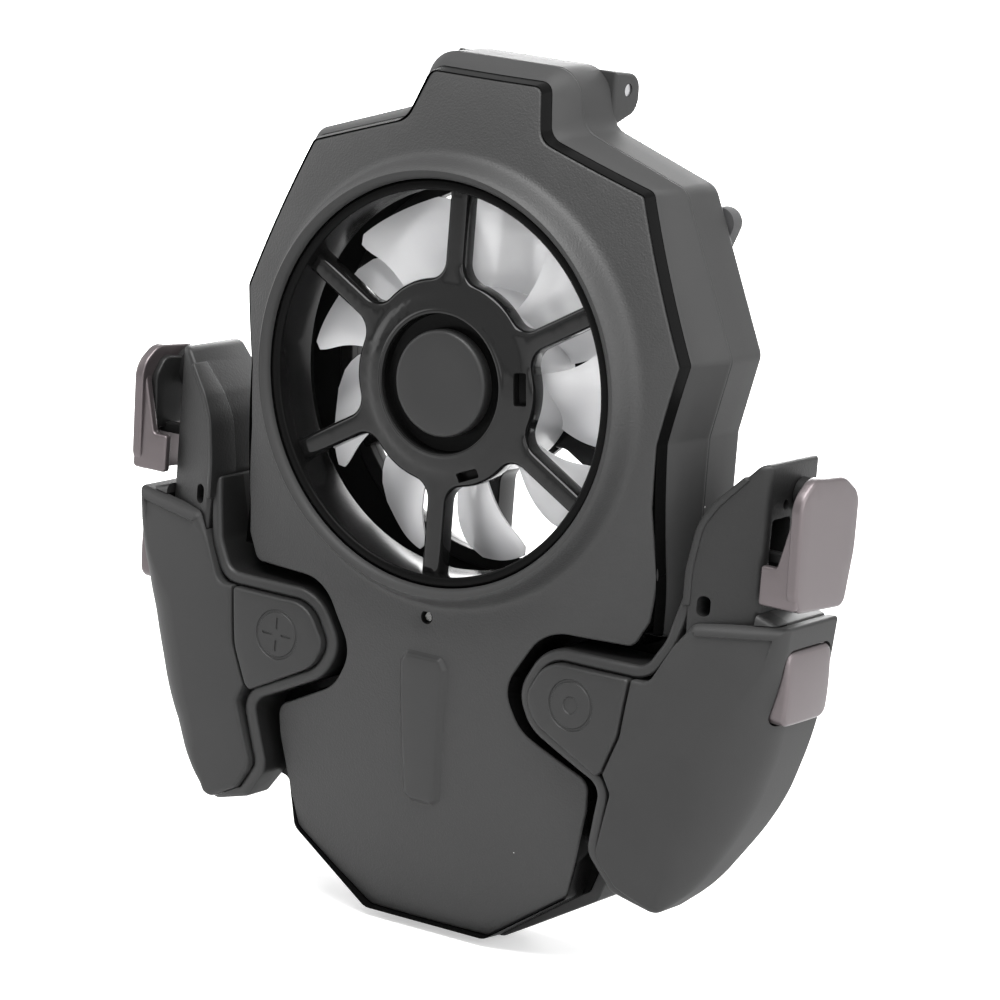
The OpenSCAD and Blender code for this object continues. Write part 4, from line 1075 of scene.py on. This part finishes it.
def bracketTool(skin, grow, high):
    skin.block(Outline(inset(wing["bracket"], -grow), 3, 4), wing["bracketLow"] - grow, high, 0, 0, 1, 6)


def keyOutline(grow, step, arc):
    bottom, top, low, high = wing["sideKey"]
    return Outline(box(bottom - grow, top + grow, low - grow, high + grow, 1.6), step, arc)


def keyTool(skin, side):
    skin.place = sideways(side)
    skin.block(keyOutline(0.2, 4, 6), 44.7, 54, 0, 0, 1, 6)
    skin.place = upright(side)


def wingTab(side):
    # Tab with its lip
    skin, tools = Skin(upright(side)), Skin(upright(side))
    outline, ridge = Outline(wing["base"], 1.4, 8), shifted(coverAt, -1)
    low, top, roll, inner = wing["tabLow"], wing["tabTop"], 0.7, 0.45
    rings = [skin.ring(outline.at(d), h) for d, h in ((0.25, low), (0, low + 0.25))]
    for a in quarter(5):
        rings.append(skin.ring(outline.at(roll * (1 - cos(a))), shifted(ridge, -roll * (1 - sin(a)))))
    for a in quarter(5):
        rings.append(skin.ring(outline.at(1.6 - inner * (1 - sin(a))), shifted(ridge, -inner * (1 - cos(a)))))
    rings += [skin.ring(outline.at(1.6), top + 0.3), skin.ring(outline.at(1.8), top)]
    skin.wall(*rings[2:])
    skin.fill(rings[-1], [], top, 5)
    # The tab's outer wall and its underside are painted near-black as shade
    skin.slot = 1
    skin.wall(*rings[:3])
    skin.fill(rings[0], [], low, 5)
    tools.block(Outline(inset(wing["cover"], -0.12), 3, 5), top + 0.02, 30, 0, 0, 1, 6)
    bracketTool(tools, 0.1, 30)
    return carve(skin.piece("tab", ["softPlastic", "blackPartsAndPaintedShade"]), tools)


def wingTray(side):
    # Deep tray under the cover
    skin, tools = Skin(upright(side)), Skin(upright(side))
    wall, inner, edge = wing["wall"], wing["innerX"], 0.5
    corners = [*wing["base"][:4], (inner, -62.1, 0.3), (inner, -23.8, 0.3), (36.6, -19, 0.4)]
    outline, floor, top = Outline(corners, 1.6, 6), shifted(backAt, wall), 11.2
    rings = []
    for a in quarter(5):
        rings.append(skin.ring(outline.at(edge * (1 - sin(a))), shifted(backAt, edge * (1 - cos(a)))))
    rings += [skin.ring(outline.at(d), h) for d, h in ((0, top), (wall, top), (wall, floor))]
    skin.wall(*rings)
    holes = []
    for place in wing["screws"]:
        seat = backAt(*place) + wall
        steps = ((2.25, backAt), (2.1, shifted(backAt, 0.15)), (2.1, seat))
        sink = [skin.ring(circle(r, place, 32), h) for r, h in steps]
        skin.wall(*sink)
        skin.fill(sink[-1], [], seat, 3)
        holes.append(sink[0])
        skin.turned([(0, seat + 0.05), (2.9, seat + 0.05), (2.9, seat + 1.2), (0, seat + 1.2)], place, 24)
    skin.fill(rings[0], holes, backAt, 3)
    skin.fill(rings[-1], [], floor, 5)
    bracketTool(tools, 0.1, 30)
    keyTool(tools, side)
    return carve(skin.piece("tray", ["softPlastic"]), tools)


def wingBase(side, name):
    # Tab, tray, and the strip that closes the back behind the side key
    strip = Skin(upright(side))
    strip.block(Outline(wing["strip"], 2, 4), 2.43, 2.83, 0.03, 0.03, 1, 3)
    mesh = merge("wingBase", [wingTab(side), wingTray(side), strip.piece("strip", ["softPlastic"])])
    addPiece("wingBase_" + name, mesh, "wing_" + name, "wing_base_" + name)


def wingCover(side, name):
    # Every point of the outline has a fillet of its own, its bend
    skin, tools = Skin(upright(side)), Skin(upright(side))
    outline, wall = Outline(wing["cover"], 1.2, 8), wing["wall"]
    depths = [0, 0.25, 0.5, 1, 1.5, 2, 3, 4, 5, 6, 7, 8, 9]
    loops, bends = [outline.at(d) for d in depths], []
    for i, gap in enumerate(outline.gaps):
        a, b = wing["bend"][i], wing["bend"][(i + 1) % len(outline.gaps)]
        for k in range(outline.arc + gap):
            if i < len(wing["outer"]):
                bends.append(readTable(wing["bulge"], loops[0][len(bends)][1]))
            else:
                t = max(0, k - outline.arc) / gap
                bends.append(a + (b - a) * t * t * (3 - 2 * t))

    def at(k, depth):
        for low, high, near, far in zip(depths, depths[1:], loops, loops[1:]):
            if depth <= high:
                t = (depth - low) / (high - low)
                return near[k][0] + (far[k][0] - near[k][0]) * t, near[k][1] + (far[k][1] - near[k][1]) * t

    mouth = [clamped((y + 24.9) / 0.8) if x > 36 else 0.0 for x, y in loops[0]]
    base = Outline(wing["base"], 2, 6).at(-0.1)
    low = lambda x, y: 11.8 if inside(base, x, y) else backAt(x, y) + 0.6 * clamped((-40 - y) / 16)
    rings = [skin.ring(outline.at(d), shifted(low, up)) for d, up in ((0.2, 0), (0, 0.2))]
    for a in quarter(8):
        rings.append([])
        for k, bend in enumerate(bends):
            x, y = at(k, bend * (1 - cos(a)))
            bead = wing["bead"] * mouth[k] * sin(a) ** 2
            rings[-1] += skin.ring([(x, y)], coverAt(x, y) - bend * (1 - sin(a)) + bead)
    for past, up in ((0.25, 1.0), (0.36, 0.9), (0.46, 0.25), (0.56, 0.0)):
        rings.append([])
        for k, bend in enumerate(bends):
            x, y = at(k, bend + past)
            rings[-1] += skin.ring([(x, y)], coverAt(x, y) + wing["bead"] * mouth[k] * up)
    skin.wall(*rings)
    skin.fill(rings[-1], [], coverAt, 1.6)
    skin.fill(rings[0], [], low, 4)
    hollow = []
    for a in quarter(8):
        hollow.append([])
        for k, bend in enumerate(bends):
            bend = max(0.3, bend - wall)
            x, y = at(k, wall + bend * (1 - cos(a)))
            if y > -25.2:  # open towards the bracket
                x, y = min(x, 49.1), y + 7
            hollow[-1] += tools.ring([(x, y)], coverAt(x, y) - wall - bend * (1 - sin(a)))
    hollow.insert(0, tools.ring([tools.flat[i] for i in hollow[0]], 0))
    tools.wall(*hollow)
    tools.fill(hollow[-1], [], shifted(coverAt, -wall), 3)
    tools.fill(hollow[0], [], 0, 5)
    bracketTool(tools, 0.12, shifted(slopeAt, 0.2))
    keyTool(tools, side)
    piece = carve(skin.piece("wingCover_" + name, ["smoothPlastic"]), tools)
    dress(piece, "wing_" + name, "wing_cover_" + name)


def triggerBracket(side, name):
    skin, tools = Skin(upright(side)), Skin(upright(side))
    skin.block(Outline(wing["bracket"], 1.4, 7), wing["backH"], slopeAt, 0.3, 0.8, 5, 1.6)
    skin.block(Outline(wing["bracketRidge"], 1.2, 6), 12, shifted(slopeAt, 0.3), 0.1, 0.35, 5, 1)
    # The step over the tray, the slot in front, and the window and round hole for the trigger
    tools.block(Outline(box(60, 20, -18.4, -40, 0.2), 20, 2), -5, wing["bracketLow"], 0, 0, 1, 20)
    tools.block(Outline(box(40.0, 38.4, -20.5, -23.1, 0.75), 1, 6), 8, 20, 0, 0, 1, 3)
    tools.place = sideways(side)
    tools.block(Outline(box(-17.2, -10.2, 8, 12.4, 0.5), 3, 5), 42.7, 50, 0, 0, 1, 4)
    tools.turned([(0, 43.7), (0.65, 43.7), (0.65, 48), (0, 48)], (-8.6, 9.4), 24)
    piece = carve(skin.piece("triggerBracket_" + name, ["bracketPlastic"]), tools)
    dress(piece, "wing_" + name, "trigger_bracket_" + name)


def triggerPlate(side, name):
    # Metal plate with its flange, on a black carrier with the pivot and the finger for the switch
    skin, r = Skin(sideways(side)), fasteners["pinR"]
    skin.block(Outline(wing["trigger"], 0.9, 10), 50.2, 51.7, 0.25, 0.5, 5, 1.6)
    skin.place = upright(side)
    skin.block(Outline(wing["flange"], 1.4, 6), 13.9, 15.1, 0.25, 0.35, 4, 1.6)
    skin.place, skin.slot = sideways(side), 1
    skin.block(Outline(wing["carrier"], 1.2, 7), 49.3, 50.3, 0.3, 0.1, 3, 2)
    skin.turned([
        (r, 45.85), (2.05, 45.85), (2.2, 46.0), (2.2, 48.2), (2.5, 49.0), (3.0, 49.35), (3.0, 50.35), (r, 50.35)
    ], fasteners["pivot"], 40, closed=True)
    skin.block(Outline(box(-15.8, -14.4, 9.9, 11.3, 0.25), 2, 4), 43.1, 50.4, 0.15, 0.1, 3)
    looks = ["bronzeMetal", "blackPartsAndPaintedShade"]
    skin.piece("triggerPlate_" + name, looks, "trigger_body_" + name, "trigger_" + name, "trigger_metal")


def sideKey(side, name):
    skin = Skin(sideways(side))
    face = lambda y, h: 50.8 - 0.26 * ((y + 30.8) / 4.8) ** 2 - 0.14 * ((h - 7.9) / 4.9) ** 2
    skin.block(keyOutline(0, 1, 8), 48.0, face, 0.2, 0.55, 6, 1.2)
    skin.block(Outline(box(-31.6, -30, 10.5, 12, 0.2), 2, 4), 47.75, 48.3, 0.1, 0.1, 2)
    skin.piece("sideKey_" + name, ["bronzeMetal"], "side_key_body_" + name, "side_key_" + name, "key_metal")


def backKey(side, name):
    # With an engraved ring, round a dot on the right key and four ticks on the left one
    skin, centre, deep, edge = Skin(upright(side)), wing["keyCentre"], wing["engraved"], 0.5
    along = inset(wing["base"], 1.72)[8:11]
    corners = [(27.2, -45.7, 0.4), *along, (30.9, -32.4, 0.5), (30.0, -40, 6), (28.0, -45.0, 0.5)]
    outline = Outline(corners, 1.1, 9)
    rings = [skin.ring(outline.at(0), wing["keyLow"])]
    for a in quarter(5):
        rings.append(skin.ring(outline.at(edge * (1 - cos(a))), shifted(coverAt, -edge * (1 - sin(a)))))
    skin.wall(*rings)
    skin.fill(rings[0], [], wing["keyLow"], 3)

    def engrave(loops, drops):
        sunk = [skin.ring(loop, shifted(coverAt, -drop)) for loop, drop in zip(loops, drops)]
        skin.wall(*sunk)
        return sunk

    groove = engrave([circle(r, centre, 64) for r in (3.35, 3.25, 3.0, 2.9)], (0, deep, deep, 0))
    if side > 0:
        marks, step = [[circle(r, centre, 32) for r in (1.15, 1.05)]], 0.6
    else:
        tick = box(2.3, 0.7, 0.17, -0.17, 0.1)
        ticks = [Outline(placed(tick, turn * pi / 2, centre), 1, 3) for turn in range(4)]
        marks, step = [[tick.at(d) for d in (0, 0.05)] for tick in ticks], 1
    openings = []
    for loops in marks:
        sunk = engrave(loops, (0, deep))
        skin.fill(sunk[-1], [], shifted(coverAt, -deep), step)
        openings.append(sunk[0])
    skin.fill(groove[-1], openings, coverAt, 0.9)
    skin.fill(rings[-1], [groove[0]], coverAt, 1.1)
    skin.piece("backKey_" + name, ["keyPlastic"], "back_key_body_" + name, "back_key_" + name, "body_plastic")


for side, name in ((1, "right"), (-1, "left")):
    print("wing:", name)
    for make in (wingBase, wingCover, triggerBracket, triggerPlate, sideKey, backKey):
        make(side, name)
    places = [(side * x, y, backAt(x, y) + 0.3) for x, y in wing["screws"]]
    screws("wingScrews_" + name, fasteners["wingLength"], places, "wing_" + name, "wing_screws_" + name)


# Top hook and the small outer pieces
hook = {
    "barrelR": 1.8, "halfW": 7.5, "length": 13.5, "low": -1.4, "thick": 2.0, "lip": 1.3, "ribs": 5,
    "pitch": 3.05,
}
pads = {"places": [(27.4, 20.6, -22, 10), (19.0, -53.25, 0, 17.5)], "half": 2.0, "high": 2.38}


def bar(skin, x0, x1, y0, y1, low, high, corner, edge):
    skin.block(Outline(box(x1, x0, y1, y0, corner), 2, 4), low, high, edge, edge, 3, 2)


def topHook():
    half, axis, low, r = hook["halfW"], body["hookY"], hook["low"], hook["barrelR"]
    end, top = axis - hook["length"], low + hook["thick"]
    skin, rib, pad = Skin(), Skin(), Skin()
    bar(skin, -half, half, end, axis - 0.6, low, top, 0.8, 0.35)
    bar(skin, -half, half, end, end + 2, low + 1, top + hook["lip"], 0.5, 0.35)
    skin.place = sideways()
    end0, end1 = -half + 0.25, half - 0.25
    barrel = [(0.62, -half), (r - 0.25, -half), (r, end0), (r, end1), (r - 0.25, half), (0.62, half)]
    skin.turned(barrel, (axis, body["hookH"]), 48, closed=True)
    arm = skin.piece("hookArm", ["keyPlastic"])
    bar(rib, -half + 0.8, -half + 2.0, axis - 1, axis + 1, low - 0.5, low + 1.3, 0.35, 0.3)
    row = {"Count": hook["ribs"], "Pitch": hook["pitch"] * mm}
    ribs = grow(rib.piece("hookRibs", ["keyPlastic"]), inRow, "keyPlastic", **row)
    addPiece("topHook", merge("topHook", [arm, ribs]), "hook", "top_hook")
    bar(pad, -half + 1, half - 1, end + 2, end + 2.8, top, top + 0.9, 0.2, 0.25)
    pad.piece("hookPad", ["padRubber"], "hook", "hook_pad", "rubber")


def gripPads():
    skin, half = Skin(), pads["half"]
    for x, y, turn, length in pads["places"]:
        for side in (1, -1):
            corners = box(half, -half, length / 2, -length / 2, 1.9)
            outline = Outline(placed(corners, radians(side * turn), (side * x, y)), 1.2, 8)
            skin.block(outline, 0, pads["high"], 0.45, 0.05, 4, 2)
    skin.piece("gripPads", ["padRubber"], "body", "grip_pads", "rubber")


def footPieces():
    # Charge socket and power button
    skin, x, h, low = Skin(lying), body["socketX"], body["socketH"], -footY - 0.2
    shell = Outline(box(x - 4.6, x + 4.6, h - 1.7, h + 1.7, 1.6), 2, 8)
    deep, back = low + 6.4, low + 7.2
    profile = ((0, back), (0, low + 0.1), (0.1, low), (0.28, low), (0.4, low + 0.15), (0.4, deep))
    rings = [skin.ring(shell.at(d), y) for d, y in profile]
    skin.wall(*rings)
    skin.fill(rings[0], [], back, 4)
    skin.fill(rings[-1], [], deep, 4)
    skin.piece("chargeSocket", ["steel"], "body", "charge_socket", "steel")
    skin, x = Skin(lying), body["buttonX"]
    button = Outline(box(x - 1.8, x + 1.8, h - 1.6, h + 1.6, 0.7), 1, 6)
    skin.block(button, -footY - 1.28, -footY + 1.2, 0.35, 0.1, 4, 1.5)
    skin.piece("powerButton", ["matteCap"], "button", "power_button", "matte_black")


print("small pieces")
topHook()
gripPads()
footPieces()

# Pieces that keep the frame's own shape
kept = {
    "steel": ["hook_pin", "motor_shaft", "guide_rods_right", "guide_rods_left"],
    "brass": ["bearing_sleeve", "rod_bushes"], "copperCoil": ["motor_stator"], "magnetGrey": ["magnet_ring"],
    "greenBoard": ["motor_board", "main_board", "port_board", "wing_board_right", "wing_board_left"],
    "matteCap": ["key_switches_right", "key_switches_left"],
    "cellWrap": ["battery"], "clearPipe": ["light_pipe"],
}
for look, nodes in kept.items():
    for node in nodes:
        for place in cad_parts[node].material_slots:
            place.material = finishes[look]


# Floor, light and camera, in metres. Each lamp has its place, width and height, and power
stage = {
    "floorZ": -0.0734, "floorSize": 3.0, "floorShade": 0.80, "worldShade": 0.30, "lampTarget": (0, 0, -0.015),
    "lamps": {
        "leftLight": ((-0.70, -0.15, 0.20), (0.5, 0.7), 2.1),
        "rightLight": ((0.72, -0.10, 0.28), (0.5, 0.7), 4.4),
        "topLight": ((0.10, -0.20, 0.73), (0.7, 0.6), 14.0),
        "edgeLight": ((0.62, 0.34, 0.16), (0.5, 0.6), 1.3),
        "frontLight": ((0.50, -0.70, 0.30), (0.6, 0.5), 1.8),
        "backLight": ((-0.30, 0.80, 0.10), (0.6, 0.5), 10.0),
    },
    "lens": 174.433, "cameraPlace": (0.33668, -0.51826, 0.11130), "view": (-0.53606, 0.81905, -0.20444),
    "roll": 4.577,
}
scene = bpy.context.scene


def makeWorld():
    # White where it is seen, also in reflections, and dimmer for the light it gives
    world = bpy.data.worlds.new("studio")
    scene.world = world
    world.use_nodes = True
    tree = world.node_tree
    tree.nodes.clear()
    dull, bright, path = newNodes(tree, "ShaderNodeBackground", "ShaderNodeBackground", "ShaderNodeLightPath")
    mix, out = newNodes(tree, "ShaderNodeMixShader", "ShaderNodeOutputWorld")
    for node, strength in ((dull, stage["worldShade"]), (bright, 1.0)):
        node.inputs[0].default_value = (1, 1, 1, 1)
        node.inputs[1].default_value = strength
    mirrored = mathNode(tree, "MAXIMUM", path.outputs["Is Glossy Ray"], path.outputs["Is Transmission Ray"])
    tree.links.new(mathNode(tree, "MAXIMUM", path.outputs["Is Camera Ray"], mirrored), mix.inputs[0])
    tree.links.new(dull.outputs[0], mix.inputs[1])
    tree.links.new(bright.outputs[0], mix.inputs[2])
    tree.links.new(mix.outputs[0], out.inputs[0])


def makeFloor():
    # Pale, and lit a little by itself where the camera sees it, the more the further away
    half, z = stage["floorSize"] / 2, stage["floorZ"]
    mesh = bpy.data.meshes.new("floor")
    corners = [(-half, -half, z), (half, -half, z), (half, half, z), (-half, half, z)]
    mesh.from_pydata(corners, [], [(0, 1, 2, 3)])
    floor = addPiece("floor", mesh)
    material = bpy.data.materials.new("paleFloor")
    material.use_nodes = True
    tree = material.node_tree
    shader = tree.nodes["Principled BSDF"]
    shader.inputs["Base Color"].default_value = (stage["floorShade"],) * 3 + (1,)
    shader.inputs["Roughness"].default_value = 0.9
    shader.inputs["Specular IOR Level"].default_value = 0.0
    shader.inputs["Emission Color"].default_value = (1, 1, 1, 1)
    path, place, away = newNodes(tree, "ShaderNodeLightPath", "ShaderNodeTexCoord", "ShaderNodeVectorMath")
    away.operation = "LENGTH"
    tree.links.new(place.outputs["Object"], away.inputs[0])
    far = mathNode(tree, "MULTIPLY", mathNode(tree, "SUBTRACT", away.outputs["Value"], 0.12), 1.6, clamp=True)
    glow = mathNode(tree, "MULTIPLY", path.outputs["Is Camera Ray"], mathNode(tree, "ADD", far, 0.45))
    tree.links.new(glow, shader.inputs["Emission Strength"])
    mesh.materials.append(material)
    floor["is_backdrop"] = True


def makeLamp(name, place, size, power):
    data = bpy.data.lights.new(name, "AREA")
    data.shape, data.size, data.size_y, data.energy = "RECTANGLE", size[0], size[1], power
    light = bpy.data.objects.new(name, data)
    light.location = place
    light.rotation_euler = (Vector(stage["lampTarget"]) - Vector(place)).to_track_quat("-Z", "Y").to_euler()
    scene.collection.objects.link(light)


def makeCamera():
    camera = bpy.data.objects.new("camera", bpy.data.cameras.new("camera"))
    camera.data.lens, camera.data.sensor_width = stage["lens"], 36.0
    camera.data.clip_start, camera.data.clip_end = 0.01, 20
    camera.location = stage["cameraPlace"]
    camera.rotation_mode = "QUATERNION"
    roll = Quaternion((0, 0, 1), radians(stage["roll"]))
    camera.rotation_quaternion = Vector(stage["view"]).to_track_quat("-Z", "Y") @ roll
    scene.collection.objects.link(camera)
    scene.camera = camera
    scene.view_settings.view_transform = "Standard"


print("stage")
makeWorld()
makeFloor()
for name, settings in stage["lamps"].items():
    makeLamp(name, *settings)
makeCamera()

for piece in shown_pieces():
    if piece.type == "MESH":
        print(piece.name, len(piece.data.polygons))
